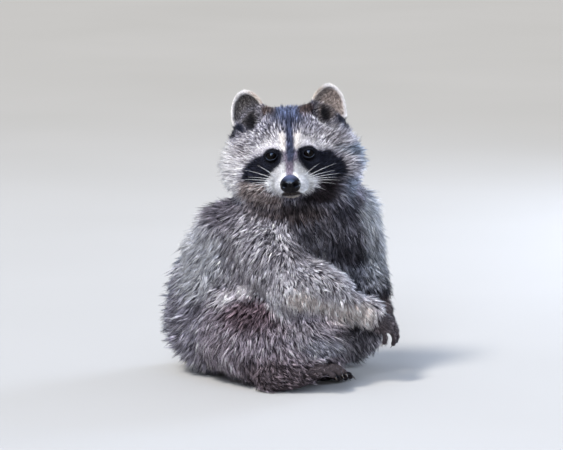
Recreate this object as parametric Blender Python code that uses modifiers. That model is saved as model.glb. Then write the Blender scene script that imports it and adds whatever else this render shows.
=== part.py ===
"""Raccoon sitting on its haunches, life size, as a still museum model.

Metres, +Z up. The face looks towards -Y, the back is towards -X and the hands reach
towards +X, where they rest on the left knee. Every solid goes out to the tips of the
coat. The origin is on the floor, under the middle of the model.

Shapes are described in millimetres. A body part is a chain of balls that run along a
smooth curve and are fused into one skin. Small parts are finished first, and each
larger part is then cut back from the ones that press into it.
"""

import math

import bmesh
import bpy
import numpy as np
from mathutils import Matrix, Vector

MM = 0.001
GAP = 0.5 * MM  # between two solids that touch
BALLS_PER_SPAN = 5  # balls between two stations of a chain
BLOCK_SIDE = 900 * MM  # of a block that cuts away all beyond a plane
FLAT_ENOUGH = math.radians(2)  # faces that turn less than this are made one
WELD = 0.02 * MM  # points this close are made one after a cut
SHARP_EDGE = math.radians(50)  # edges that turn more than this shade as creases

# Head: its frame starts midway between the eyes, with +X to the animal's left,
# -Y out of the face and +Z up.
HEAD_AT = (13, -100, 308)
HEAD_YAW, HEAD_PITCH, HEAD_ROLL = -3, -7, -4.5  # degrees
EYE_SPACING = 47
EYE_RADIUS = 8.2
EYE_DEPTH = 5.5  # of the eye's centre behind the frame's origin
NOSE_AT = (0, -50, -36)
EAR_BASE = (47, 52, 36)
EAR_HALF_WIDTH, EAR_HALF_HEIGHT, EAR_HALF_DEPTH = 24, 40, 12
EAR_LEAN = {"left": 9, "right": 12}  # degrees outwards
EAR_TURN = 14  # degrees, of the cup towards the side

# Shared sizes of the paws.
FINGER_LENGTH, FINGER_RADIUS = 27, 3.5
TOE_LENGTH, TOE_RADIUS = 23, 4.4
CLAW_LENGTH, CLAW_RADIUS, CLAW_POINT, CLAW_DROP = 11, 1.5, 0.3, 3.2

COAT_GREY = (0.22, 0.20, 0.19)
COAT_DARK = (0.09, 0.08, 0.08)
COAT_PALE = (0.42, 0.39, 0.36)
PAW_BROWN = (0.13, 0.10, 0.09)

FINISHES = {  # base colour, roughness, metallic
    "coat_grey": (COAT_GREY, 0.85, 0.0),
    "coat_dark": (COAT_DARK, 0.85, 0.0),
    "coat_pale": (COAT_PALE, 0.85, 0.0),
    "paw_skin": (PAW_BROWN, 0.6, 0.0),
    "nose_leather": ((0.012, 0.012, 0.014), 0.3, 0.0),
    "eye_glass": ((0.02, 0.012, 0.008), 0.05, 0.0),
    "claw_horn": ((0.05, 0.04, 0.035), 0.4, 0.0),
}

# ---------------------------------------------------------------- stations
# Each station is x, y, z and a radius, or three radii along X, Y and Z.

TRUNK_CHAIN = [
    (-70, 42, 70, 84, 80, 76),
    (-60, 30, 118, 88, 78, 68),
    (-32, 12, 162, 94, 72, 58),
    (6, -4, 200, 92, 66, 50),
    (24, -22, 240, 86, 58, 42),
    (22, -44, 268, 84, 52, 40),
]
BELLY = (18, -12, 92, 62, 58, 60)
BREAST = (60, 4, 166, 50, 42, 58)
SHOULDER_BLADES = [(-50, -10, 200, 54, 50, 46), (81, -6, 212, 55, 46, 54)]
TRUNK_CUTS = {  # where one part of the trunk ends: a point and the way the spine runs
    "pelvis": ((-40, 25, 95), (0.65, -0.2, 0.73)),
    "abdomen": ((5, 0, 158), (0.3, -0.2, 0.93)),
    "chest": ((26, -12, 226), (0.0, -0.35, 0.94)),
}

RIGHT_ARM = {
    "upper_arm": [(-36, -38, 204, 44), (-8, -70, 170, 42), (18, -88, 136, 36)],
    "forearm": [
        (14, -90, 137, 37),
        (38, -88, 136, 31),
        (70, -80, 124, 25),
        (96, -69, 109, 20.5),
        (117, -57, 97, 17),
    ],
}
LEFT_ARM = {
    "upper_arm": [(88, 8, 206, 40), (102, 16, 176, 38), (110, 18, 150, 34)],
    "forearm": [(110, 16, 144, 34), (117, 6, 126, 28), (123, 1, 117, 18)],
}
RIGHT_LEG = {
    "thigh": [
        (-56, -26, 68, 56, 50, 58),
        (-12, -60, 57, 60, 48, 59),
        (28, -74, 57, 50, 42, 55),
        (55, -76, 60, 39, 34, 45),
    ],
    "shank": [(46, -86, 44, 28, 24, 32), (14, -98, 30, 30, 23, 30), (-12, -96, 22, 24, 21, 23)],
}
LEFT_LEG = {
    "thigh": [(2, 54, 70, 54, 50, 54), (50, 32, 68, 48, 44, 46), (94, -2, 67, 38, 36, 34)],
    "shank": [
        (106, -16, 63, 33, 32, 33),
        (70, -8, 46, 30, 28, 32),
        (28, 5, 28, 26, 26, 27),
        (2, 12, 20, 22, 22, 20),
    ],
}

# A paw's frame: where its wrist or heel is, the way it points, and how its back faces.
HANDS = {
    "right": ((116, -57, 96), (0.84, 0.12, -0.53), (0.4, -0.5, 0.76)),
    "left": ((125, 2, 116), (0.58, -0.24, -0.78), (0.75, 0.1, 0.65)),
}
FEET = {
    "right": ((-8, -93, 0), (0.93, -0.16, 0.32), (0, 0, 1)),
    "left": ((-4, 12, 0), (0.97, -0.24, 0.0), (0, 0, 1)),
}

TOE_CURL = {"right": 26, "left": 8}  # degrees

TAIL_CHAIN = [
    (-98, 84, 44, 26),
    (-90, 122, 33, 31),
    (-46, 150, 32, 34),
    (10, 156, 31, 33),
    (58, 142, 27, 29),
    (90, 116, 21, 22),
    (104, 94, 14, 13),
]
TAIL_LENGTHS = 4

# How finely each kind of part is fused: voxel size in mm, smoothing steps, and the number
# of triangles it is thinned to before its neighbours cut it.
DETAIL = {
    "head": (2.2, 8, 680),
    "nose": (1.0, 4, 160),
    "trunk": (4.0, 14, 500),
    "arm": (3.0, 8, 130),
    "leg": (3.0, 8, 150),
    "tail": (3.0, 8, 260),
    "hand": (1.3, 3, 360),
    "foot": (1.5, 3, 280),
}


# ---------------------------------------------------------------- helpers


def clear_scene():
    for obj in list(bpy.data.objects):
        bpy.data.objects.remove(obj)


def collection_named(name):
    made = bpy.data.collections.new(name)
    bpy.context.scene.collection.children.link(made)
    return made


def finish_material(name):
    found = bpy.data.materials.get(name)
    if found:
        return found
    colour, roughness, metallic = FINISHES[name]
    made = bpy.data.materials.new(name)
    made.use_nodes = True
    shader = made.node_tree.nodes["Principled BSDF"]
    shader.inputs["Base Color"].default_value = (*colour, 1)
    shader.inputs["Roughness"].default_value = roughness
    shader.inputs["Metallic"].default_value = metallic
    return made


def frame_of(origin, forward, up):
    """A matrix whose X points forward and whose Z is as near to up as it can be."""
    x = Vector(forward).normalized()
    y = Vector(up).cross(x).normalized()
    z = x.cross(y)
    turn = Matrix((x, y, z)).transposed().to_4x4()
    return Matrix.Translation(Vector(origin) * MM) @ turn


def head_frame():
    turn = (
        Matrix.Rotation(math.radians(HEAD_YAW), 4, "Z")
        @ Matrix.Rotation(math.radians(HEAD_PITCH), 4, "X")
        @ Matrix.Rotation(math.radians(HEAD_ROLL), 4, "Y")
    )
    return Matrix.Translation(Vector(HEAD_AT) * MM) @ turn


def smooth_chain(stations):
    """Balls on a Catmull-Rom curve through the stations, with radii that change with it."""
    rows = [s if len(s) == 6 else (*s, s[3], s[3]) for s in stations]
    points = np.array([rows[0], *rows, rows[-1]], float)
    balls = []
    for i in range(1, len(points) - 2):
        before, start, end, after = points[i - 1 : i + 3]
        for t in np.arange(BALLS_PER_SPAN) / BALLS_PER_SPAN:
            balls.append(
                0.5
                * (
                    2 * start
                    + (end - before) * t
                    + (2 * before - 5 * start + 4 * end - after) * t**2
                    + (3 * start - before - 3 * end + after) * t**3
                )
            )
    balls.append(points[-1])
    return balls


def evaluated_mesh(obj):
    graph = bpy.context.evaluated_depsgraph_get()
    mesh = bpy.data.meshes.new_from_object(obj.evaluated_get(graph))
    obj.modifiers.clear()
    old = obj.data
    obj.data = mesh
    bpy.data.meshes.remove(old)
    return obj


def new_object(name, bm, collection):
    mesh = bpy.data.meshes.new(name)
    bm.to_mesh(mesh)
    bm.free()
    obj = bpy.data.objects.new(name, mesh)
    collection.objects.link(obj)
    return obj


def fuse(name, kind, balls, frame=None):
    """One closed body from overlapping balls: voxel remesh, smooth, and thin out."""
    voxel, smoothing, triangle_count = DETAIL[kind]
    frame = frame or Matrix.Identity(4)
    bm = bmesh.new()
    for x, y, z, rx, ry, rz in balls:
        place = Matrix.Translation((x * MM, y * MM, z * MM))
        size = Matrix.Diagonal((rx * MM, ry * MM, rz * MM, 1))
        bmesh.ops.create_icosphere(bm, subdivisions=3, radius=1, matrix=frame @ place @ size)
    obj = new_object(name, bm, parts)
    remesh = obj.modifiers.new("fuse", "REMESH")
    remesh.mode = "VOXEL"
    remesh.voxel_size = voxel * MM
    soften = obj.modifiers.new("soften", "SMOOTH")
    soften.factor = 0.5
    soften.iterations = smoothing
    triangles = obj.modifiers.new("triangles", "TRIANGULATE")
    triangles.quad_method = "BEAUTY"
    evaluated_mesh(obj)
    thin = obj.modifiers.new("thin", "DECIMATE")
    thin.ratio = min(1.0, triangle_count / len(obj.data.polygons))
    evaluated_mesh(obj)
    return obj


def keep_largest(obj):
    """Tidies a cut body and drops slivers that the cut has left loose."""
    bm = bmesh.new()
    bm.from_mesh(obj.data)
    bmesh.ops.remove_doubles(bm, verts=bm.verts, dist=WELD)
    bmesh.ops.dissolve_degenerate(bm, edges=bm.edges, dist=WELD)
    bmesh.ops.dissolve_limit(bm, angle_limit=FLAT_ENOUGH, verts=bm.verts, edges=bm.edges)
    bmesh.ops.triangulate(bm, faces=bm.faces)
    left, islands = set(bm.verts), []
    while left:
        island, border = set(), [left.pop()]
        while border:
            vert = border.pop()
            island.add(vert)
            for edge in vert.link_edges:
                other = edge.other_vert(vert)
                if other in left:
                    left.remove(other)
                    border.append(other)
        islands.append(island)
    islands.sort(key=len, reverse=True)
    for island in islands[1:]:
        bmesh.ops.delete(bm, geom=list(island), context="VERTS")
    bm.to_mesh(obj.data)
    bm.free()


def apply_boolean(obj, other, operation):
    cut = obj.modifiers.new(operation.lower(), "BOOLEAN")
    cut.operation = operation
    cut.object = other
    cut.solver = "EXACT"
    evaluated_mesh(obj)
    keep_largest(obj)


def grown_copy(obj):
    """A cutter: the same shape, larger all round by the gap."""
    copy = obj.copy()
    copy.data = obj.data.copy()
    copy.name = "cutter_" + obj.name
    cutters.objects.link(copy)
    copy.hide_render = True
    copy.display_type = "WIRE"
    grow = copy.modifiers.new("grow", "DISPLACE")
    grow.mid_level = 0
    grow.strength = GAP
    evaluated_mesh(copy)
    return copy


def box_of(obj):
    corners = np.array([v.co for v in obj.data.vertices])
    return corners.min(0), corners.max(0)


def near(a, b):
    (low_a, high_a), (low_b, high_b) = box_of(a), box_of(b)
    return bool((low_a <= high_b).all() and (low_b <= high_a).all())


def half_space(point, direction, inset=GAP / 2):
    """A block that fills one side of a plane, and a little more of the other side."""
    along = Vector(direction).normalized()
    bm = bmesh.new()
    bmesh.ops.create_cube(bm, size=BLOCK_SIDE)
    turn = along.to_track_quat("Z", "Y").to_matrix().to_4x4()
    middle = Vector(point) * MM + along * (BLOCK_SIDE / 2 - inset)
    bm.transform(Matrix.Translation(middle) @ turn)
    block = new_object("cutter_half", bm, cutters)
    block.hide_render = True
    block.display_type = "WIRE"
    return block


def cut_into(obj, names, planes):
    """Parts a long body with thin cuts. Each plane is a point and the way the body runs there."""
    pieces = []
    for i, name in enumerate(names):
        piece = obj.copy()
        piece.data = obj.data.copy()
        piece.name = name
        parts.objects.link(piece)
        if i > 0:
            point, along = planes[i - 1]
            apply_boolean(piece, half_space(point, -Vector(along)), "DIFFERENCE")
        if i < len(planes):
            point, along = planes[i]
            apply_boolean(piece, half_space(point, Vector(along)), "DIFFERENCE")
        pieces.append(piece)
    bpy.data.objects.remove(obj)
    return pieces


def dress(obj, finish):
    obj.data.materials.clear()
    obj.data.materials.append(finish_material(finish))
    obj.data.polygons.foreach_set("material_index", [0] * len(obj.data.polygons))
    obj.data.shade_smooth()
    obj.data.set_sharp_from_angle(angle=SHARP_EDGE)
    return obj


# ---------------------------------------------------------------- head


def head_balls():
    bridge = [  # from the forehead down to the top of the nose
        (0, 28, 26, 36, 24, 28),
        (0, 12, 2, 24, 21, 22),
        (0, -12, -15, 16, 16, 14),
        (0, -36, -27, 11, 10, 10),
    ]
    muzzle = [(0, 10, -26, 36, 26, 28), (0, -12, -32, 27, 18, 21), (0, -34, -36, 18, 14, 15)]
    middle = [
        (0, 50, 14, 60, 52, 52),  # skull
        (0, 34, -26, 46, 44, 30),  # throat
        (0, -20, -49, 13, 19, 8),  # chin
    ]
    cheek = [  # the ruff, from beside the ear down to the jaw
        (30, 44, 38, 36, 38, 28),
        (47, 46, 12, 39, 36, 36),
        (54, 48, -16, 42, 38, 40),
        (34, 34, -34, 36, 34, 27),
    ]
    sides = [
        *smooth_chain(cheek),
        (24, 19, 6, 22, 18, 20),  # rim of the eye socket
        (27, 20, -18, 25, 22, 20),  # cheekbone
        (11, -24, -38, 15, 19, 13),  # whisker pad
    ]
    mirrored = [(side * x, *rest) for x, *rest in sides for side in (1, -1)]
    return [*middle, *smooth_chain(bridge), *smooth_chain(muzzle), *mirrored]


def ellipsoid(name, centre, radii, frame, segments=12, rings=7):
    bm = bmesh.new()
    place = Matrix.Translation(Vector(centre) * MM)
    size = Matrix.Diagonal((*(r * MM for r in radii), 1))
    bmesh.ops.create_uvsphere(
        bm, u_segments=segments, v_segments=rings, radius=1, matrix=frame @ place @ size
    )
    return new_object(name, bm, parts)


def make_eyes(frame):
    radii = (EYE_RADIUS,) * 3
    return [
        ellipsoid(f"eye_{side}", (x * EYE_SPACING / 2, EYE_DEPTH, 0), radii, frame)
        for side, x in (("left", 1), ("right", -1))
    ]


def make_nose(frame):
    """The bare pad: broad on top, narrower below, and set on the end of the muzzle."""
    x, y, z = NOSE_AT
    balls = [
        (x, y, z + 3, 12.4, 8.2, 7.6),
        (x, y + 1, z - 4, 9.0, 7.2, 7.6),
        (x, y + 4, z + 4, 10, 9, 8),
    ]
    return fuse("nose", "nose", balls, frame)


def make_ear(side, x, frame):
    """An upright shell that opens forwards. x is 1 on the animal's left and -1 on its right."""
    lean = Matrix.Rotation(math.radians(x * EAR_LEAN[side]), 4, "Y")
    turn = Matrix.Rotation(math.radians(x * EAR_TURN), 4, "Z")
    base = Matrix.Translation(Vector((x * EAR_BASE[0], EAR_BASE[1], EAR_BASE[2])) * MM)
    ear_frame = frame @ base @ turn @ lean
    wide, high, deep = EAR_HALF_WIDTH, EAR_HALF_HEIGHT, EAR_HALF_DEPTH
    lift = high * 0.3
    hollow_at = (0, -deep * 0.95, lift - 1)
    hollow_radii = (wide * 0.78, deep * 1.1, high * 0.86)
    ear = ellipsoid(f"ear_{side}", (0, 0, lift), (wide, deep, high), ear_frame, 18, 11)
    hollow = ellipsoid("hollow", hollow_at, hollow_radii, ear_frame, 12, 8)
    apply_boolean(ear, hollow, "DIFFERENCE")
    bpy.data.objects.remove(hollow)
    return ear


# ---------------------------------------------------------------- paws


def digit(base, length, radius, spread, curl):
    """A finger or toe in the paw's frame, with the place and slope of its tip."""
    turn = math.radians(spread)
    stations, slope = [], 0.0
    x, y, z = base
    for i, share in enumerate((0.0, 0.36, 0.34, 0.30)):
        slope += math.radians(curl) * (0, 0.2, 1.0, 0.8)[i]
        x += math.cos(turn) * math.cos(slope) * length * share
        y += math.sin(turn) * math.cos(slope) * length * share
        z -= math.sin(slope) * length * share
        stations.append((x, y, z, radius * (1.08, 1.0, 0.96, 0.9)[i]))
    return smooth_chain(stations), (Vector((x, y, z)), turn, slope)


def make_claw(name, tip, frame, radius):
    """A horn cone that starts inside the fingertip and droops towards its point."""
    point, turn, slope = tip
    bm = bmesh.new()
    bmesh.ops.create_cone(
        bm,
        cap_ends=True,
        segments=5,
        radius1=CLAW_RADIUS * MM,
        radius2=CLAW_POINT * MM,
        depth=CLAW_LENGTH * MM,
    )
    geom = [*bm.verts, *bm.edges, *bm.faces]
    knee = (0, 0, CLAW_LENGTH * 0.1 * MM)
    bmesh.ops.bisect_plane(bm, geom=geom, plane_co=knee, plane_no=(0, 0, 1))
    for vert in bm.verts:
        along = vert.co.z / (CLAW_LENGTH * MM) + 0.5
        vert.co.x -= CLAW_DROP * MM * along**2
    # The cone's own Z becomes the digit's forward direction, and its X the digit's back.
    lay = Matrix(((0, 0, 1, 0), (0, 1, 0, 0), (1, 0, 0, 0), (0, 0, 0, 1)))
    lay = lay @ Matrix.Diagonal((1, -1, 1, 1))
    pose = Matrix.Rotation(turn, 4, "Z") @ Matrix.Rotation(slope, 4, "Y")
    start = point + Vector((0, 0, radius * 0.35))
    forward = Matrix.Translation((CLAW_LENGTH * 0.42 * MM, 0, 0))
    bm.transform(frame @ Matrix.Translation(start * MM) @ pose @ forward @ lay)
    bmesh.ops.triangulate(bm, faces=bm.faces)
    bmesh.ops.recalc_face_normals(bm, faces=bm.faces)
    return new_object(name, bm, parts)


def make_paw(name, kind, balls, digits, frame):
    claws = []
    for i, (base, length, radius, spread, curl) in enumerate(digits):
        chain, tip = digit(base, length, radius, spread, curl)
        balls = [*balls, *chain]
        claws.append(make_claw(f"claw_{name}_{i + 1}", tip, frame, radius))
    paw = fuse(name, kind, balls, frame)
    return paw, claws


def make_hand(side, mirror):
    """Five long fingers that curl over the knee, with the thumb set back."""
    frame = frame_of(*HANDS[side])
    palm = smooth_chain([(-6, 0, 0, 11, 12, 9), (12, 0, 0, 12, 14, 8), (30, 0, -1, 9, 15, 6.5)])
    digits = []
    for i in range(5):
        across = (i - 2) * mirror
        set_back = 7 if i == 0 else 0
        length = FINGER_LENGTH - 2.4 * abs(i - 2)
        base = (32 - 1.3 * (i - 2) ** 2 - set_back, across * 6.6, -1.5)
        digits.append((base, length, FINGER_RADIUS, across * 9, 34))
    return make_paw(f"hand_{side}", "hand", palm, digits, frame)


def make_foot(side, mirror):
    """A flat sole from the heel to five short toes, curled down where the foot is raised."""
    curl = TOE_CURL[side]
    frame = frame_of(*FEET[side])
    sole = smooth_chain(
        [
            (2, 0, 13, 14, 13, 14),
            (30, 0, 12, 18, 14, 13),
            (56, 0, 9.5, 16, 16, 10.5),
            (72, 0, 8, 10, 18, 8.5),
        ]
    )
    digits = []
    for i in range(5):
        across = (i - 2) * mirror
        length = TOE_LENGTH - 2 * abs(i - 2)
        base = (76 - 1.6 * (i - 2) ** 2, across * 8.2, 8)
        digits.append((base, length, TOE_RADIUS, across * 7, curl))
    return make_paw(f"foot_{side}", "foot", sole, digits, frame)


# ---------------------------------------------------------------- body


def make_limb(side, limb, kind):
    """Its lengths, outermost first, so that the inner one is the one cut back."""
    return [
        fuse(f"{segment}_{side}", kind, smooth_chain(stations))
        for segment, stations in reversed(limb.items())
    ]


def make_trunk():
    balls = [*smooth_chain(TRUNK_CHAIN), BELLY, BREAST, *SHOULDER_BLADES]
    return fuse("trunk", "trunk", balls)


def tail_planes():
    """Where the tail is parted, and its direction there, from its own chain of balls."""
    points = np.array([ball[:3] for ball in smooth_chain(TAIL_CHAIN)])
    planes = []
    for i in range(1, TAIL_LENGTHS):
        at = round(len(points) * i / TAIL_LENGTHS)
        planes.append((points[at], Vector(points[at + 1] - points[at - 1])))
    return planes


def build():
    face = head_frame()
    eyes = make_eyes(face)
    nose = make_nose(face)
    small, paws = [*eyes, nose], []
    for side, mirror in (("right", 1), ("left", -1)):
        for make in (make_hand, make_foot):
            paw, claws = make(side, mirror)
            paws.append(paw)
            small += claws
    head = fuse("head", "head", head_balls(), face)
    ears = [make_ear("left", 1, face), make_ear("right", -1, face)]
    arms = make_limb("right", RIGHT_ARM, "arm") + make_limb("left", LEFT_ARM, "arm")
    legs = make_limb("right", RIGHT_LEG, "leg") + make_limb("left", LEFT_LEG, "leg")
    tail = fuse("tail", "tail", smooth_chain(TAIL_CHAIN))
    names = [f"tail_{i + 1}" for i in range(TAIL_LENGTHS)]
    tail_parts = cut_into(tail, names, tail_planes())
    trunk_parts = cut_into(make_trunk(), [*TRUNK_CUTS, "neck"], list(TRUNK_CUTS.values()))

    floor = half_space((0, 0, 0), (0, 0, -1), inset=0)
    singles = [*paws, *small, head, *ears, *arms, *legs]
    earlier = []
    for group in [[obj] for obj in singles] + [tail_parts, trunk_parts]:
        grown = [grown_copy(obj) for obj in group]
        for obj in group:
            for other in earlier:
                if near(obj, other):
                    apply_boolean(obj, other, "DIFFERENCE")
            if box_of(obj)[0][2] < 0:
                apply_boolean(obj, floor, "DIFFERENCE")
        earlier += grown

    finishes = [
        (eyes, "eye_glass"),
        ([nose], "nose_leather"),
        (small[len(eyes) + 1 :], "claw_horn"),
        (paws, "paw_skin"),
        ([head, *ears], "coat_pale"),
        ([*arms, *legs, *trunk_parts], "coat_grey"),
        (tail_parts[0::2], "coat_grey"),
        (tail_parts[1::2], "coat_dark"),
    ]
    for group, finish in finishes:
        for obj in group:
            dress(obj, finish)


def centre_on_floor():
    """Moves the model so that its origin is under the middle of its box."""
    boxes = [box_of(obj) for obj in parts.objects]
    low = np.min([box[0] for box in boxes], axis=0)
    high = np.max([box[1] for box in boxes], axis=0)
    middle = (low + high) / 2
    for obj in parts.objects:
        obj.data.transform(Matrix.Translation((-middle[0], -middle[1], 0)))


clear_scene()
parts = collection_named("raccoon")
cutters = collection_named("cutters")
build()
centre_on_floor()
cutters.hide_render = True
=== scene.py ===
import math
import time

import bmesh
import bpy
import numpy as np
from mathutils import Matrix, Vector
from mathutils.bvhtree import BVHTree
from mathutils.kdtree import KDTree


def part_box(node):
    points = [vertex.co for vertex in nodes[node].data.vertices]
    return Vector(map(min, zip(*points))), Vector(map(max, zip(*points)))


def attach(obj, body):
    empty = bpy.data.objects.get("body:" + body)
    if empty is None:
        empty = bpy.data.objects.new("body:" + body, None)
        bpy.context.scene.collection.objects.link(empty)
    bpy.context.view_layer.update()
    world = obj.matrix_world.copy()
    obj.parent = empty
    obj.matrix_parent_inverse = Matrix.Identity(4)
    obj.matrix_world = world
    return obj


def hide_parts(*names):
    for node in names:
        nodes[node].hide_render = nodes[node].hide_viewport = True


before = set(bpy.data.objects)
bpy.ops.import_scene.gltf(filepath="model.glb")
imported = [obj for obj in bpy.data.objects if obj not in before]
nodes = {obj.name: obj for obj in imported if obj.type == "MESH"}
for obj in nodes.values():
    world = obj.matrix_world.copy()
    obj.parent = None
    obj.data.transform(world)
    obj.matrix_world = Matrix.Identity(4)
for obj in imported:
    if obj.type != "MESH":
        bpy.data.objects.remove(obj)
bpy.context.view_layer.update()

mm = 0.001
started = time.time()


def report(stage):
    print(f"{time.time() - started:6.1f} s  {stage}")


# small tools for materials

def linear(code):
    parts = [int(code[i:i + 2], 16) / 255 for i in (0, 2, 4)]
    return [c / 12.92 if c <= 0.04045 else ((c + 0.055) / 1.055) ** 2.4 for c in parts]


def setNode(node, settings=None, links=None):
    # "ends" are the colours at the two ends of a ramp
    for name, value in (settings or {}).items():
        if name == "ends":
            for stop, code in zip(node.color_ramp.elements, value):
                stop.color = (*linear(code), 1)
        elif name in node.inputs:
            node.inputs[name].default_value = value
        else:
            setattr(node, name, value)
    for name, (source, socket) in (links or {}).items():
        node.id_data.links.new(source.outputs[socket], node.inputs[name])
    return node


def addNode(tree, kind, settings=None, links=None):
    return setNode(tree.nodes.new(kind), settings, links)


def newMaterial(name):
    material = bpy.data.materials.new(name)
    material.use_nodes = True
    tree = material.node_tree
    return material, tree, tree.nodes["Principled BSDF"]


def mottledMaterial(name, noise, ends, roughness, bump=None):
    # cloudy between two tones; the same cloud can roughen the surface
    material, tree, shader = newMaterial(name)
    where = addNode(tree, "ShaderNodeTexCoord")
    cloud = addNode(tree, "ShaderNodeTexNoise", noise, {"Vector": (where, "Object")})
    tint = addNode(tree, "ShaderNodeValToRGB", {"ends": ends}, {"Fac": (cloud, "Fac")})
    setNode(shader, {"Roughness": roughness}, {"Base Color": (tint, "Color")})
    if bump:
        raised = addNode(tree, "ShaderNodeBump", bump, {"Height": (cloud, "Fac")})
        setNode(shader, links={"Normal": (raised, "Normal")})
    return material


# small tools for objects and their meshes

def newObject(name, data, material=None):
    obj = bpy.data.objects.new(name, data)
    bpy.context.scene.collection.objects.link(obj)
    if material:
        data.materials.append(material)
    return obj


def objectFrom(bm, name, material=None):
    mesh = bpy.data.meshes.new(name)
    bm.to_mesh(mesh)
    bm.free()
    return newObject(name, mesh, material)


def meshFrom(name, points, faces):
    mesh = bpy.data.meshes.new(name)
    mesh.vertices.add(len(points))
    mesh.vertices.foreach_set("co", np.ascontiguousarray(points, np.float32).ravel())
    mesh.loops.add(faces.size)
    mesh.loops.foreach_set("vertex_index", np.ascontiguousarray(faces, np.int32).ravel())
    mesh.polygons.add(len(faces))
    mesh.polygons.foreach_set("loop_start", np.arange(len(faces), dtype=np.int32) * faces.shape[1])
    mesh.update(calc_edges=True)
    mesh.shade_smooth()
    return mesh


def readFlat(items, name, width, kind):
    flat = np.empty(len(items) * width, kind)
    items.foreach_get(name, flat)
    return flat.reshape(-1, width)


def pointsOf(mesh):
    return readFlat(mesh.vertices, "co", 3, np.float32).astype(float)


def trianglesOf(mesh):
    mesh.calc_loop_triangles()
    return readFlat(mesh.loop_triangles, "vertices", 3, np.int32)


def readMesh(obj):
    return pointsOf(obj.data), readFlat(obj.data.edges, "vertices", 2, np.int32), trianglesOf(obj.data)


def setPoints(obj, points):
    obj.data.vertices.foreach_set("co", np.ascontiguousarray(points, np.float32).ravel())
    obj.data.update()


def addAttribute(obj, name, values):
    # a number, or a colour, at each point
    kind, field = ("FLOAT", "value") if values.ndim == 1 else ("FLOAT_COLOR", "color")
    if values.ndim > 1:
        values = np.insert(values, 3, 1, axis=-1)
    data = obj.data.attributes.new(name, kind, "POINT").data
    data.foreach_set(field, np.ascontiguousarray(values, np.float32).ravel())


def modify(obj, kind, **settings):
    # adds a modifier and applies it
    modifier = obj.modifiers.new("shape", kind)
    for name, value in settings.items():
        setattr(modifier, name, value)
    graph = bpy.context.evaluated_depsgraph_get()
    mesh = bpy.data.meshes.new_from_object(obj.evaluated_get(graph))
    obj.modifiers.clear()
    obj.data = mesh


def finishPiece(obj, slot, *replaced):
    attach(obj, "root")
    if replaced:
        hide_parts(*replaced)


# small tools for arrays of points

def unit(vectors):
    return vectors / np.maximum(np.linalg.norm(vectors, axis=-1, keepdims=True), 1e-12)


def normalsOf(points, triangles):
    a, b, c = (points[triangles[:, i]] for i in range(3))
    face = np.cross(b - a, c - a)
    total = np.zeros_like(points)
    for i in range(3):
        for axis in range(3):
            total[:, axis] += np.bincount(triangles[:, i], face[:, axis], len(points))
    return unit(total)


def spread(values, edges, rounds, share=0.5):
    # each vertex drifts towards the mean of its neighbours
    values = np.array(values, float)
    flat = values.reshape(len(values), -1)
    a, b = edges.T
    count = np.maximum(np.bincount(a, minlength=len(flat)) + np.bincount(b, minlength=len(flat)), 1)
    share = np.broadcast_to(np.asarray(share, float), (len(flat),))
    for _ in range(rounds):
        for k in range(flat.shape[1]):
            column = flat[:, k]
            mean = np.bincount(a, column[b], len(flat)) + np.bincount(b, column[a], len(flat))
            flat[:, k] = column + share * (mean / count - column)
    return flat.reshape(values.shape)


def soften(obj, rounds, share=0.5):
    points, edges, _ = readMesh(obj)
    setPoints(obj, spread(points, edges, rounds, share))


def step(low, high, value):
    t = np.clip((value - low) / (high - low), 0, 1)
    return t * t * (3 - 2 * t)


def dip(distance, wide):
    # 1 in the middle of a hollow, fading out over its width
    return np.exp(-((distance / wide) ** 2))


def spotWeight(points, centre, radii):
    # 1 in the middle of a ball, running out softly at its edge
    away = np.linalg.norm((points - np.array(centre)) / np.array(radii), axis=1)
    return 1 - step(0.55, 1.25, away)


def waves(points, size, seed):
    # soft blotches about size metres across, from -1 to 1
    rng = np.random.default_rng(seed)
    total = np.zeros(len(points))
    for _ in range(6):
        way = unit(rng.normal(size=3)) * 2 * math.pi / size * rng.uniform(0.6, 1.5)
        total += np.sin(points @ way + rng.uniform(0, 7))
    return total / 2.6


def nearestOf(places, points):
    # which of the places is nearest to each point
    tree = KDTree(len(places))
    for i, p in enumerate(places.tolist()):
        tree.insert(p, i)
    tree.balance()
    return np.array([tree.find(p)[1] for p in points.tolist()])


def within(place, points):
    # from the model's metres to mm in a frame of its own
    return (points - np.array(place.translation)) @ np.array(place.to_3x3()) / mm


# where the head is: its own frame starts between the eyes, X to the animal's left, Y into
# the head and Z up

head = {"noseOut": 53.1, "noseDown": 35.8, "eyeRadius": 8.2, "eyeSpacing": 23.5}


def middleOf(node):
    low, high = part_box(node)
    return (low + high) / 2


def headFrame():
    origin = (middleOf("eye_left") + middleOf("eye_right")) / 2
    across = (middleOf("eye_left") - middleOf("eye_right")).normalized()
    toNose = middleOf("nose") - origin
    toNose = (toNose - across * toNose.dot(across)).normalized()
    aside = across.cross(toNose)
    angle = math.atan2(head["noseDown"], head["noseOut"])
    into = aside * math.sin(angle) - toNose * math.cos(angle)
    up = -toNose * math.sin(angle) - aside * math.cos(angle)
    return Matrix.Translation(origin) @ Matrix((across, into, up)).transposed().to_4x4()


headMatrix = headFrame()
headTurn = np.array(headMatrix.to_3x3())


def toHead(points):
    return within(headMatrix, points)


def fromHead(points):
    return np.asarray(points) * mm @ headTurn.T + np.array(headMatrix.translation)


noseTip = np.array([0, -58.0, -36.0])


# camera, floor and light

view = {"elevation": 8, "distance": 5.0, "width": 0.7206, "right": -0.0111, "up": -0.0896}


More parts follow.
